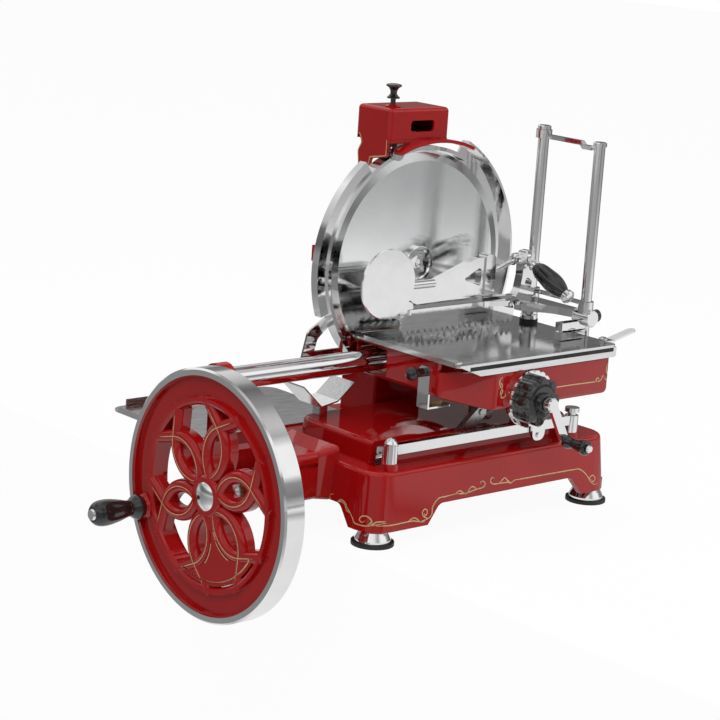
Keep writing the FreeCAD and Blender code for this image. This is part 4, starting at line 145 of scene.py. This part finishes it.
class Shader:
    """A node material under construction: each method adds a node and returns its output socket."""

    def __init__(self, name):
        self.material = bpy.data.materials.new(name)
        self.material.use_nodes = True
        self.tree = self.material.node_tree
        self.surface = self.tree.nodes["Principled BSDF"]
        self.place = self.tree.nodes.new("ShaderNodeTexCoord").outputs["Object"]

    def set(self, **values):
        for name, value in values.items():
            self.surface.inputs[name.replace("_", " ")].default_value = value

    def link(self, output, name):
        self.tree.links.new(output, self.surface.inputs[name])

    def noise(self, scale, detail=2.0, stretch=None):
        node = self.tree.nodes.new("ShaderNodeTexNoise")
        node.inputs["Scale"].default_value = scale
        node.inputs["Detail"].default_value = detail
        place = self.place
        if stretch:
            mapping = self.tree.nodes.new("ShaderNodeMapping")
            mapping.inputs["Scale"].default_value = stretch
            self.tree.links.new(place, mapping.inputs["Vector"])
            place = mapping.outputs["Vector"]
        self.tree.links.new(place, node.inputs["Vector"])
        return node.outputs["Fac"]

    def span(self, value, low, high):
        """Noise spread from low to high."""
        node = self.tree.nodes.new("ShaderNodeMapRange")
        node.inputs["From Min"].default_value = NOISE_LOW
        node.inputs["From Max"].default_value = NOISE_HIGH
        node.inputs["To Min"].default_value = low
        node.inputs["To Max"].default_value = high
        self.tree.links.new(value, node.inputs["Value"])
        return node.outputs["Result"]

    def colours(self, value, low, high):
        """Noise spread from the colour low to the colour high."""
        node = self.tree.nodes.new("ShaderNodeValToRGB")
        node.color_ramp.elements[0].position = NOISE_LOW
        node.color_ramp.elements[1].position = NOISE_HIGH
        node.color_ramp.elements[0].color = (*low, 1)
        node.color_ramp.elements[1].color = (*high, 1)
        self.tree.links.new(value, node.inputs["Fac"])
        return node.outputs["Color"]

    def bump(self, value, distance):
        node = self.tree.nodes.new("ShaderNodeBump")
        node.inputs["Distance"].default_value = distance
        self.tree.links.new(value, node.inputs["Height"])
        self.link(node.outputs["Normal"], "Normal")

    def rings(self, centre, scale):
        """Fine turned rings about an axis along Y through centre."""
        mapping = self.tree.nodes.new("ShaderNodeMapping")
        mapping.inputs["Location"].default_value = [-value for value in centre]
        wave = self.tree.nodes.new("ShaderNodeTexWave")
        wave.wave_type = "RINGS"
        wave.rings_direction = "Y"
        wave.inputs["Scale"].default_value = scale
        wave.inputs["Distortion"].default_value = 1.5
        wave.inputs["Detail"].default_value = 3.0
        self.tree.links.new(self.place, mapping.inputs["Vector"])
        self.tree.links.new(mapping.outputs["Vector"], wave.inputs["Vector"])
        return wave.outputs["Fac"]


def red_enamel():
    shader = Shader("red_enamel")
    shader.set(Roughness=0.35, Specular_IOR_Level=0.0, Coat_Weight=1.0, Coat_Roughness=0.02, Coat_IOR=1.5)
    shader.link(shader.colours(shader.noise(9.0, 3.0), (0.30, 0.0035, 0.004), (0.35, 0.005, 0.0055)),
                "Base Color")
    shader.bump(shader.noise(28.0, 2.0), 0.00012)
    return shader.material


def polished(name, tone, low, high, grain=60.0):
    """Polished metal with faint smears."""
    shader = Shader(name)
    shader.set(Metallic=1.0)
    dull = [0.96 * value for value in tone]
    shader.link(shader.colours(shader.noise(grain, 2.0), dull, tone), "Base Color")
    shader.link(shader.span(shader.noise(grain * 0.4, 4.0), low, high), "Roughness")
    shader.bump(shader.noise(grain * 3.0, 2.0), 0.00002)
    return shader.material


def brushed(name, tone, low, high, stretch):
    """Brushed metal whose grain is drawn out where stretch is small."""
    shader = Shader(name)
    shader.set(Metallic=1.0)
    grain = shader.noise(420.0, 3.0, stretch=stretch)
    dull = [0.86 * value for value in tone]
    shader.link(shader.colours(grain, dull, tone), "Base Color")
    shader.link(shader.span(grain, low, high), "Roughness")
    shader.bump(grain, 0.00003)
    return shader.material


def mirror_blade():
    """Mirror steel with fine turned rings about the blade's axis."""
    shader = Shader("blade_steel")
    shader.set(Metallic=1.0)
    rings = shader.rings((0.007, 0.034, 0.272), 900.0)
    shader.link(shader.colours(shader.noise(14.0, 3.0), (0.80, 0.81, 0.82), (0.88, 0.88, 0.88)),
                "Base Color")
    shader.link(shader.span(rings, 0.03, 0.07), "Roughness")
    shader.bump(rings, 0.000004)
    return shader.material


def black_gloss():
    shader = Shader("ebonite")
    shader.set(Coat_Weight=0.6, Coat_Roughness=0.06)
    shader.link(shader.colours(shader.noise(40.0, 3.0), (0.006, 0.006, 0.006), (0.013, 0.012, 0.012)),
                "Base Color")
    shader.link(shader.span(shader.noise(120.0, 3.0), 0.16, 0.28), "Roughness")
    shader.bump(shader.noise(300.0, 2.0), 0.00003)
    return shader.material


def black_rubber():
    shader = Shader("rubber")
    shader.link(shader.colours(shader.noise(60.0, 4.0), (0.012, 0.012, 0.012), (0.026, 0.025, 0.024)),
                "Base Color")
    shader.link(shader.span(shader.noise(90.0, 3.0), 0.55, 0.75), "Roughness")
    shader.bump(shader.noise(700.0, 3.0), 0.00008)
    return shader.material


def gold_paint():
    shader = Shader("gold_paint")
    shader.set(Metallic=0.25)
    shader.link(shader.colours(shader.noise(260.0, 3.0), (0.50, 0.36, 0.17), (0.68, 0.52, 0.28)),
                "Base Color")
    shader.link(shader.span(shader.noise(150.0, 2.0), 0.30, 0.45), "Roughness")
    shader.bump(shader.noise(900.0, 2.0), 0.00003)
    return shader.material


MATERIALS = {
    "red_enamel": red_enamel(),
    "chrome": polished("chrome", (0.86, 0.86, 0.86), 0.03, 0.09),
    "steel": brushed("steel", (0.56, 0.56, 0.55), 0.24, 0.40, (1.0, 1.0, 0.12)),
    "blade_steel": mirror_blade(),
    "sheet": brushed("sheet", (0.80, 0.80, 0.80), 0.09, 0.17, (0.08, 1.0, 1.0)),
    "rubber": black_rubber(),
    "ebonite": black_gloss(),
    "bronze": brushed("bronze", (0.60, 0.42, 0.20), 0.25, 0.38, (0.2, 1.0, 1.0)),
    "gold_paint": gold_paint(),
}


def dress_nodes():
    """Every CAD node gets the material of its slot."""
    for name, node in NODES.items():
        node.data.materials.clear()
        node.data.materials.append(MATERIALS[SLOT_OF[name]])


# Painted lines ------------------------------------------------------------------------------------------

class Side:
    """One side of a piece, a node's name or an object: points across and up are met on its surface."""

    def __init__(self, piece, view):
        mesh = (NODES[piece] if isinstance(piece, str) else piece).data
        self.tree = BVHTree.FromPolygons([corner.co for corner in mesh.vertices],
                                         [face.vertices[:] for face in mesh.polygons])
        self.origin, self.across, self.up, self.inward = map(Vector, view)

    def meet(self, point):
        """The paint's place over point, or None where there is no surface behind it."""
        start = self.origin + point.x * self.across + point.y * self.up
        place, normal, _, _ = self.tree.ray_cast(start, self.inward)
        if place is None:
            return None
        return place - PAINT_LIFT * math.copysign(1, normal.dot(self.inward)) * normal


def smooth(points):
    """Points about STROKE_STEP apart on a Catmull-Rom curve through points given in millimetres."""
    points = [Vector(point) / 1000 for point in points]
    ends = [points[0]] + points + [points[-1]]
    line = []
    for before, start, end, after in zip(ends, ends[1:], ends[2:], ends[3:]):
        count = max(1, round((end - start).length / STROKE_STEP))
        for index in range(count):
            t = index / count
            bend = 2 * before - 5 * start + 4 * end - after
            twist = 3 * start - before - 3 * end + after
            line.append(0.5 * (2 * start + t * (end - before) + t * t * bend + t ** 3 * twist))
    return line + [points[-1]]


def stroke(side, points, width, taper=True):
    """Rows of left and right edge points of a painted line, split where the surface ends."""
    line = smooth(points)
    rows, row = [], []
    for index, point in enumerate(line):
        ahead = line[min(index + 1, len(line) - 1)] - line[max(index - 1, 0)]
        across = Vector((-ahead.y, ahead.x)).normalized()
        share = index / (len(line) - 1)
        swell = min(1.0, 0.35 + 5 * min(share, 1 - share)) if taper else 1.0
        half = swell * width / 2000
        pair = side.meet(point + half * across), side.meet(point - half * across)
        if None in pair or (row and (pair[0] - row[-1][0]).length > 6 * STROKE_STEP):
            rows.append(row)
            row = []
        if None not in pair:
            row.append(pair)
    return [row for row in rows + [row] if len(row) > 1]


def added(name, body, slot, mesh):
    """A new piece that rides on body and takes the finish of slot."""
    mesh.materials.append(MATERIALS[slot])
    mesh.shade_smooth()
    piece = bpy.data.objects.new(name, mesh)
    bpy.context.scene.collection.objects.link(piece)
    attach(piece, body)
    return piece


def painted(name, body, slot, strokes):
    """One piece of thin strips that lie on the surface."""
    corners, faces = [], []
    for row in (row for rows in strokes for row in rows):
        first = len(corners)
        corners += [corner for pair in row for corner in pair]
        faces += [(first + 2 * k, first + 2 * k + 1, first + 2 * k + 3, first + 2 * k + 2)
                  for k in range(len(row) - 1)]
    mesh = bpy.data.meshes.new(name)
    mesh.from_pydata(corners, [], faces)
    added(name, body, slot, mesh)


def on_wheel(radius, turn):
    """(y, z) of a point on the wheel, in millimetres, turn degrees up from its right-hand radius."""
    angle = math.radians(turn)
    return Vector((WHEEL_Y - radius * math.cos(angle), WHEEL_Z + radius * math.sin(angle)))


def petal_lines(side, turn):
    """The crest lines of a petal's two ribs, each run on past the tip along its leg."""
    half_chord = (PETAL_TIP - PETAL_ROOT) / 2
    bow = (half_chord ** 2 + PETAL_HALF ** 2) / (2 * PETAL_HALF)
    spread = math.asin(half_chord / bow)
    centre = Vector((WHEEL_Y, WHEEL_Z))
    along = on_wheel(1, turn) - centre
    rows = []
    for hand in (1, -1):
        across = hand * (on_wheel(1, turn + 90) - centre)
        axis = centre + along * (PETAL_ROOT + half_chord) + across * (PETAL_HALF - bow)
        arc = [axis + bow * (math.sin(swing) * along + math.cos(swing) * across)
               for swing in (spread * step / 8 for step in range(-7, 9))]
        leg = arc[-1] + LEG_LENGTH * (math.cos(spread) * along - math.sin(spread) * across)
        rows += stroke(side, arc + [arc[-1].lerp(leg, 0.5), leg], PETAL_LINE)
    return rows


def fan_line(side):
    """The line that follows the counterweight's edge."""
    turn = PETAL_TURN - 90
    centre = Vector((WHEEL_Y, WHEEL_Z))
    along, across = on_wheel(1, turn) - centre, on_wheel(1, turn + 90) - centre
    corner_u, corner_v = FAN_REACH * math.cos(FAN_HALF), FAN_REACH * math.sin(FAN_HALF)
    run, rise = corner_u - FAN_START, corner_v - FAN_NECK
    flare = (run ** 2 + rise ** 2) / (2 * rise)
    swing = math.asin(run / flare)
    rows = []
    for hand in (1, -1):
        edge = [(FAN_ROOT, FAN_NECK)]
        edge += [(FAN_START + flare * math.sin(angle), FAN_NECK + flare * (1 - math.cos(angle)))
                 for angle in (swing * step / CURVE_STEPS for step in range(CURVE_STEPS + 1))]
        rows += stroke(side, [centre + u * along + hand * v * across for u, v in edge], FAN_LINE, False)
    foot = [centre + FAN_REACH * (math.cos(angle) * along + math.sin(angle) * across)
            for angle in (FAN_HALF * step / CURVE_STEPS for step in range(-CURVE_STEPS, CURVE_STEPS + 1))]
    return rows + stroke(side, foot, FAN_LINE, False)


def wheel_lines():
    side = Side("flywheel_casting", LEFT_OF_WHEEL)
    rows = [petal_lines(side, PETAL_TURN + 360 / PETALS * index) for index in range(PETALS)]
    painted("wheel_pinstripes", "flywheel", "gold_paint", rows + [fan_line(side)])


def base_front_lines():
    """Scrolls along the arch of the base's front wall, (x, z) on it."""
    side = Side("base_casting", IN_FRONT)
    lines = [
        [(-181.5, 26.5), (-158, 26.6), (-135.1, 26.7), (-127, 25.2), (-121, 24.2), (-113.5, 25.6),
         (-108.5, 26.9), (-104.8, 31), (-103.7, 38.2), (-95.5, 46.1), (-84, 47), (-66.7, 47.8)],
        [(-141, 26.8), (-133, 29.8), (-127.9, 28.3), (-122.5, 24.2), (-117, 23.8), (-113.2, 26.2)],
        [(-110.8, 26.2), (-117.2, 29.3), (-119.4, 33.5), (-116.4, 37.2), (-112.4, 35.6), (-112.6, 31.2),
         (-115.6, 30.2), (-116.6, 32.8)],
        [(-70, 47.8), (-62.9, 50.3), (-58.5, 48.1), (-54.6, 45.8), (-51, 45.8), (-48.3, 49.4), (-44.4, 52.3),
         (-39.6, 50.9), (-36, 47.7)],
        [(-66.7, 47.8), (-59, 46.4), (-51, 46.3), (-36.7, 48.4), (-28.3, 48.8), (-23.7, 50.9), (-23.6, 53.7),
         (-27, 56.4), (-30.7, 55.4), (-29.4, 53.3)],
        [(-8.7, 56.6), (-11.4, 58.6), (-14.7, 55.9), (-13.3, 52.3), (-9.5, 50.5), (2.3, 50), (13.1, 49.5),
         (17.6, 47.9), (23.7, 50.5), (28, 50.8)],
        [(0.1, 50.4), (4, 53.6), (8.1, 55.4), (11.7, 52.2), (17.5, 48.2)],
        [(23, 50.4), (76.4, 50), (121.4, 49.4), (130.6, 48.8), (139.2, 44), (145.7, 37.8), (151.3, 30.8),
         (157.5, 26.9), (163.3, 27.1)],
        [(151.3, 30.8), (149.5, 35.7), (154.2, 38.3), (158.1, 35.1), (157.7, 31.2), (154, 30.7),
         (152.7, 33.6)],
    ]
    return [stroke(side, line, FRONT_SCROLL) for line in lines]


def base_end_lines():
    """The scroll on the base's left end, (y, z) on it, which runs on round the front corner."""
    side = Side("base_casting", LEFT_OF_BASE)
    lines = [
        [(-70.5, 47.6), (-66, 46.6), (-65.3, 42.6), (-70.6, 39.2), (-77, 40.8), (-84, 43), (-90.2, 41.6),
         (-97.3, 37.4), (-102.5, 33.2), (-106.1, 29.6), (-109.5, 26), (-116, 25.2), (-124, 25.4),
         (-131, 27.6), (-136.5, 29.4)],
        [(-79, 41.4), (-83.5, 44.9), (-90.5, 43.6), (-94.5, 39.4)],
        [(-90.5, 41.3), (-94, 36.6), (-99.4, 34.4)],
        [(-124, 25.4), (-127.6, 31), (-123.4, 35.8), (-117.6, 35), (-115.4, 30.8), (-118.6, 28.6),
         (-121.6, 30.8)],
        [(-127, 26.2), (-131.4, 30.6), (-136, 31.2)],
    ]
    return [stroke(side, line, END_SCROLL) for line in lines]


def carriage_lines(wall):
    """The scrolls at both ends of the carriage's front wall, (x, z) on it."""
    side = Side(wall, IN_FRONT)
    lines = [
        [(-19.4, 177.9), (-23.4, 175.4), (-22.8, 169), (-17.9, 162.4), (-20.3, 157.4), (-17.6, 154.2),
         (-12.6, 156.2), (-14, 158.6)],
        [(-22.2, 172), (-19.2, 168.8), (-19.6, 164.4), (-21.6, 160.4), (-20.4, 157)],
        [(-8.6, 160.4), (-5.6, 157)],
        [(157.5, 176.3), (152, 173.4), (151.6, 166.6), (155.6, 162.4), (157.4, 158.2), (153.2, 156.2),
         (149.8, 158.4), (150.2, 160.8)],
        [(154.9, 174.9), (156.4, 168.8), (153.9, 164.2)],
        [(146.6, 163.4), (145.4, 159.6)],
        [(140.4, 158.2), (137.2, 160.4), (134.6, 157.8), (138.2, 156), (143, 157.4), (145, 161.4)],
        [(63, 156.9), (95, 156.8), (120, 156.4), (137.6, 156.1)],
    ]
    return [stroke(side, line, CARRIAGE_SCROLL) for line in lines]


def skirt_path():
    """Points along the carriage's front wall, on its outside, from its left end round the slanting corner."""
    corners = [((CAR_LEFT, SKIRT_REAR_Y), 0), ((CAR_LEFT, CAR_FRONT + CORNER_Y), 8),
               ((CAR_LEFT + CORNER_X, CAR_FRONT), 14), ((CAR_RIGHT, CAR_FRONT), 12),
               ((CAR_RIGHT, SKIRT_END_Y), 0)]     # each corner and its radius
    line = []
    for index, (corner, radius) in enumerate(corners):
        here = Vector(corner)
        if radius == 0:
            line.append(here)
            continue
        back = (Vector(corners[index - 1][0]) - here).normalized()
        ahead = (Vector(corners[index + 1][0]) - here).normalized()
        half = back.angle(ahead) / 2
        centre = here + (back + ahead).normalized() * (radius / math.sin(half))
        start = here + back * (radius / math.tan(half)) - centre
        sweep = start.angle_signed(here + ahead * (radius / math.tan(half)) - centre)
        line += [centre + Matrix.Rotation(-sweep * step / CORNER_STEPS, 2) @ start
                 for step in range(CORNER_STEPS + 1)]
    return line


def carriage_skirt():
    """The deep front wall of the carriage, which rises to the lower edge of its left end."""
    line = skirt_path()
    lengths = [0.0]
    for before, after in zip(line, line[1:]):
        lengths.append(lengths[-1] + (after - before).length)
    rings = []
    for index, point in enumerate(line):
        ahead = (line[min(index + 1, len(line) - 1)] - line[max(index - 1, 0)]).normalized()
        inward = Vector((-ahead.y, ahead.x))
        rise = max(0.0, 1 - lengths[index] / SKIRT_RISE, 1 - (lengths[-1] - lengths[index]) / SKIRT_END_RISE)
        low = SKIRT_LOW + (CAR_LOW - SKIRT_LOW) * rise * rise * (3 - 2 * rise)
        profile = [(-SKIRT_PROUD, CAR_TOP), (-SKIRT_PROUD, low + 5), (0.6, low + 2.2), (2.2, low + 0.6),
                   (SKIRT_T, low), (SKIRT_T, CAR_TOP)]
        rings.append([Vector((*(point + depth * inward), z)) / 1000 for depth, z in profile])
    count = len(rings[0])
    corners = [corner for ring in rings for corner in ring]
    faces = [(ring * count + k, ring * count + (k + 1) % count, (ring + 1) * count + (k + 1) % count,
              (ring + 1) * count + k) for ring in range(len(rings) - 1) for k in range(count)]
    faces += [tuple(range(count))[::-1], tuple(range(len(corners) - count, len(corners)))]
    return solid("carriage_skirt", "carriage_set", "red_enamel", corners, faces)


def solid(name, body, slot, corners, faces):
    """A closed piece of the corners and faces given, with its normals outward and its sharp edges kept."""
    mesh = bpy.data.meshes.new(name)
    mesh.from_pydata(corners, [], faces)
    shape = bmesh.new()
    shape.from_mesh(mesh)
    bmesh.ops.recalc_face_normals(shape, faces=shape.faces)
    shape.to_mesh(mesh)
    shape.free()
    piece = added(name, body, slot, mesh)
    mesh.set_sharp_from_angle(angle=math.radians(32))
    return piece


def turned(name, body, slot, centre, profile, parts=40):
    """A round piece about a vertical axis: profile is (radius, height) in millimetres from the bottom up."""
    corners = [(centre[0] + radius / 1000 * math.cos(2 * math.pi * k / parts),
                centre[1] + radius / 1000 * math.sin(2 * math.pi * k / parts), height / 1000)
               for radius, height in profile for k in range(parts)]
    faces = [(row * parts + k, row * parts + (k + 1) % parts, (row + 1) * parts + (k + 1) % parts,
              (row + 1) * parts + k) for row in range(len(profile) - 1) for k in range(parts)]
    faces += [tuple(range(parts))[::-1], tuple(range(len(corners) - parts, len(corners)))]
    return solid(name, body, slot, corners, faces)


def sharpener_button():
    """The sharpener's spool shaped button: a foot flange, a thin waist and a wide crowned top."""
    low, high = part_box("sharpener_knob")
    centre = (low[0] + high[0]) / 2, (low[1] + high[1]) / 2
    half, top = (high[0] - low[0]) / 2 * 1000, high[2] * 1000
    profile = [(BUTTON_STEM_R, low[2] * 1000), (BUTTON_STEM_R, top - BUTTON_FOOT)]
    profile += [(half * share, top - drop) for share, drop in BUTTON]
    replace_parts(turned("sharpener_button", "sharpener", "ebonite", centre, profile), "sharpener_knob")


def cover_line():
    """The line along the edge of the sharpener cover's left cheek, (y, z) on it."""
    side = Side("sharpener_cover", LEFT_OF_BASE)
    line = [(24.2, 420.5), (24.2, 405), (26.4, 402.4), (49, 398.2), (51.4, 395.2), (54.6, 384.2), (58, 381.4),
            (66, 382.6), (69.4, 386), (71.6, 400), (70.2, 406), (66.4, 412.4), (67, 416), (71.4, 423)]
    painted("cover_pinstripe", "root", "gold_paint", [stroke(side, line, COVER_LINE, False)])


def painted_channel_shade():
    """A dark strip painted on the plate's front as the shade in the channel below the table's front edge."""
    side = Side("table_plate", IN_FRONT)
    line = [(x, CHANNEL_SHADE_Z) for x in (-78, 40, 158)]
    # painted shade: the strip takes the black rubber finish to stand for the channel's shadow, and no groove
    # is cut
    painted("painted_channel_shade", "table", "rubber", [stroke(side, line, CHANNEL_SHADE_H, False)])


def new_pieces():
    wheel_lines()
    painted("base_pinstripes", "root", "gold_paint", base_front_lines() + base_end_lines())
    painted("carriage_pinstripes", "carriage_set", "gold_paint", carriage_lines(carriage_skirt()))
    cover_line()
    painted_channel_shade()
    sharpener_button()


# Stage --------------------------------------------------------------------------------------------------

def seen_rays(tree, *kinds):
    """1 for the rays of the kinds named, such as Is Camera Ray, and 0 for the rest."""
    path = tree.nodes.new("ShaderNodeLightPath")
    total = path.outputs[kinds[0]]
    for kind in kinds[1:]:
        either = tree.nodes.new("ShaderNodeMath")
        either.operation = "MAXIMUM"
        tree.links.new(total, either.inputs[0])
        tree.links.new(path.outputs[kind], either.inputs[1])
        total = either.outputs[0]
    return total


def scaled(tree, value, factor):
    """A value times a plain number."""
    node = tree.nodes.new("ShaderNodeMath")
    node.operation = "MULTIPLY"
    node.inputs[1].default_value = factor
    tree.links.new(value, node.inputs[0])
    return node.outputs[0]


def ramp(tree, value, stops):
    """A grey ramp: stops are (position, level)."""
    node = tree.nodes.new("ShaderNodeValToRGB")
    keys = node.color_ramp.elements
    for _ in stops[2:]:
        keys.new(0.5)
    for key, (position, level) in zip(keys, stops):
        key.position = position
        key.color = (level, level, level, 1)
    tree.links.new(value, node.inputs["Fac"])
    return node.outputs["Color"]


def around(tree, parts):
    """From 0 to 1, the turn about the vertical of the direction whose X, Y and Z are parts."""
    turn = tree.nodes.new("ShaderNodeMath")
    turn.operation = "ARCTAN2"
    tree.links.new(parts.outputs["Y"], turn.inputs[0])
    tree.links.new(parts.outputs["X"], turn.inputs[1])
    share = tree.nodes.new("ShaderNodeMapRange")
    share.inputs["From Min"].default_value = -math.pi
    share.inputs["From Max"].default_value = math.pi
    tree.links.new(turn.outputs[0], share.inputs["Value"])
    return share.outputs["Result"]


def product(tree, one, other):
    """Two greys multiplied."""
    node = tree.nodes.new("ShaderNodeMix")
    node.data_type = "RGBA"
    node.blend_type = "MULTIPLY"
    node.inputs["Factor"].default_value = 1.0
    tree.links.new(one, node.inputs["A"])
    tree.links.new(other, node.inputs["B"])
    return node.outputs["Result"]


def mixed(tree, share, usual, instead):
    """usual where share is 0 and instead where it is 1."""
    node = tree.nodes.new("ShaderNodeMixShader")
    tree.links.new(share, node.inputs["Fac"])
    tree.links.new(usual, node.inputs[1])
    tree.links.new(instead, node.inputs[2])
    return node.outputs[0]


def glow(tree, kind):
    """A node that gives white at strength 1: an Emission, or a Background in the world."""
    node = tree.nodes.new(kind)
    node.inputs["Color"].default_value = (1, 1, 1, 1)
    node.inputs["Strength"].default_value = 1.0
    return node


def pale_surface():
    """A pale matt surface that meets the white background and keeps a faint shadow."""
    shader = Shader("pale_surface")
    shader.set(Roughness=0.7)
    shader.link(shader.colours(shader.noise(3.0, 2.0), (0.80, 0.80, 0.80), (0.83, 0.83, 0.83)), "Base Color")
    tree = shader.tree
    plain = mixed(tree, scaled(tree, seen_rays(tree, "Is Camera Ray"), WHITE_SHARE),
                  shader.surface.outputs["BSDF"], glow(tree, "ShaderNodeEmission").outputs[0])
    far = tree.nodes.new("ShaderNodeVectorMath")
    far.operation = "LENGTH"
    tree.links.new(shader.place, far.inputs[0])
    parts = tree.nodes.new("ShaderNodeSeparateXYZ")
    tree.links.new(shader.place, parts.inputs[0])
    by_distance = ramp(tree, scaled(tree, far.outputs["Value"], 1 / FLOOR_SEEN), FLOOR_BY_DISTANCE)
    mirrored = glow(tree, "ShaderNodeEmission")
    tree.links.new(product(tree, by_distance, ramp(tree, around(tree, parts), FLOOR_AROUND)),
                   mirrored.inputs["Color"])
    shown = mixed(tree, seen_rays(tree, "Is Glossy Ray", "Is Transmission Ray"), plain, mirrored.outputs[0])
    tree.links.new(shown, tree.nodes["Material Output"].inputs["Surface"])
    return shader.material


def slab(name, low, high, material):
    """A box of the stage from corner low to corner high."""
    mesh = bpy.data.meshes.new(name)
    corners = [(x, y, z) for x in (low[0], high[0]) for y in (low[1], high[1]) for z in (low[2], high[2])]
    faces = [(0, 1, 3, 2), (4, 6, 7, 5), (0, 4, 5, 1), (2, 3, 7, 6), (0, 2, 6, 4), (1, 5, 7, 3)]
    mesh.from_pydata(corners, [], faces)
    mesh.materials.append(material)
    piece = bpy.data.objects.new(name, mesh)
    bpy.context.scene.collection.objects.link(piece)
    bevel = piece.modifiers.new("edge", "BEVEL")
    bevel.width = COUNTER_EDGE_R
    bevel.segments = 3


def area_light(name, place, size, power):
    """A soft box that lights the object and doesn't show in its mirrors."""
    data = bpy.data.lights.new(name, "AREA")
    data.shape = "RECTANGLE"
    data.size, data.size_y = size
    data.energy = power
    light = bpy.data.objects.new(name, data)
    light.location = place
    light.visible_glossy = False
    light.rotation_euler = (Vector(LAMPS_AIM) - Vector(place)).to_track_quat("-Z", "Y").to_euler()
    bpy.context.scene.collection.objects.link(light)


def studio_world():
    """White behind the object; soft boxes and the dark room between them in mirrors; a soft grey light."""
    world = bpy.data.worlds.new("studio")
    bpy.context.scene.world = world
    world.use_nodes = True
    tree = world.node_tree
    soft = tree.nodes["Background"]
    soft.inputs["Color"].default_value = (1, 1, 1, 1)
    soft.inputs["Strength"].default_value = SOFT_LIGHT
    parts = tree.nodes.new("ShaderNodeSeparateXYZ")
    tree.links.new(tree.nodes.new("ShaderNodeTexCoord").outputs["Generated"], parts.inputs[0])
    mirrored = glow(tree, "ShaderNodeBackground")
    tree.links.new(product(tree, ramp(tree, parts.outputs["Z"], ROOM_BY_HEIGHT),
                           ramp(tree, around(tree, parts), ROOM_AROUND)), mirrored.inputs["Color"])
    lit = mixed(tree, seen_rays(tree, "Is Glossy Ray", "Is Transmission Ray"), soft.outputs[0],
                mirrored.outputs[0])
    behind = mixed(tree, seen_rays(tree, "Is Camera Ray"), lit, glow(tree, "ShaderNodeBackground").outputs[0])
    tree.links.new(behind, tree.nodes["World Output"].inputs["Surface"])


def stage():
    surface = pale_surface()
    slab("counter", (COUNTER_EDGE_X, -COUNTER_FRONT, -COUNTER_DROP), (COUNTER_FAR, COUNTER_FAR, 0.0), surface)
    slab("floor", (-FLOOR_REACH, -FLOOR_REACH, -COUNTER_DROP - FLOOR_T),
         (FLOOR_REACH, FLOOR_REACH, -COUNTER_DROP), surface)
    studio_world()
    for lamp in LAMPS:
        area_light(*lamp)


def camera():
    back = Vector((math.sin(AZIMUTH) * math.cos(ELEVATION), -math.cos(AZIMUTH) * math.cos(ELEVATION),
                   math.sin(ELEVATION)))
    right = (-back).cross(Vector((0, 0, 1))).normalized()
    up = right.cross(-back)
    right, up = math.cos(ROLL) * right + math.sin(ROLL) * up, math.cos(ROLL) * up - math.sin(ROLL) * right
    data = bpy.data.cameras.new("camera")
    data.sensor_width = SENSOR_MM
    data.lens = LENS_MM
    data.clip_start, data.clip_end = CLIP_NEAR, CLIP_FAR
    seen = bpy.data.objects.new("camera", data)
    seen.matrix_world = Matrix.Translation(CAMERA_AT) @ Matrix((right, up, back)).transposed().to_4x4()
    bpy.context.scene.collection.objects.link(seen)
    bpy.context.scene.camera = seen


dress_nodes()
new_pieces()
stage()
camera()
bpy.context.scene.view_settings.view_transform = "Standard"
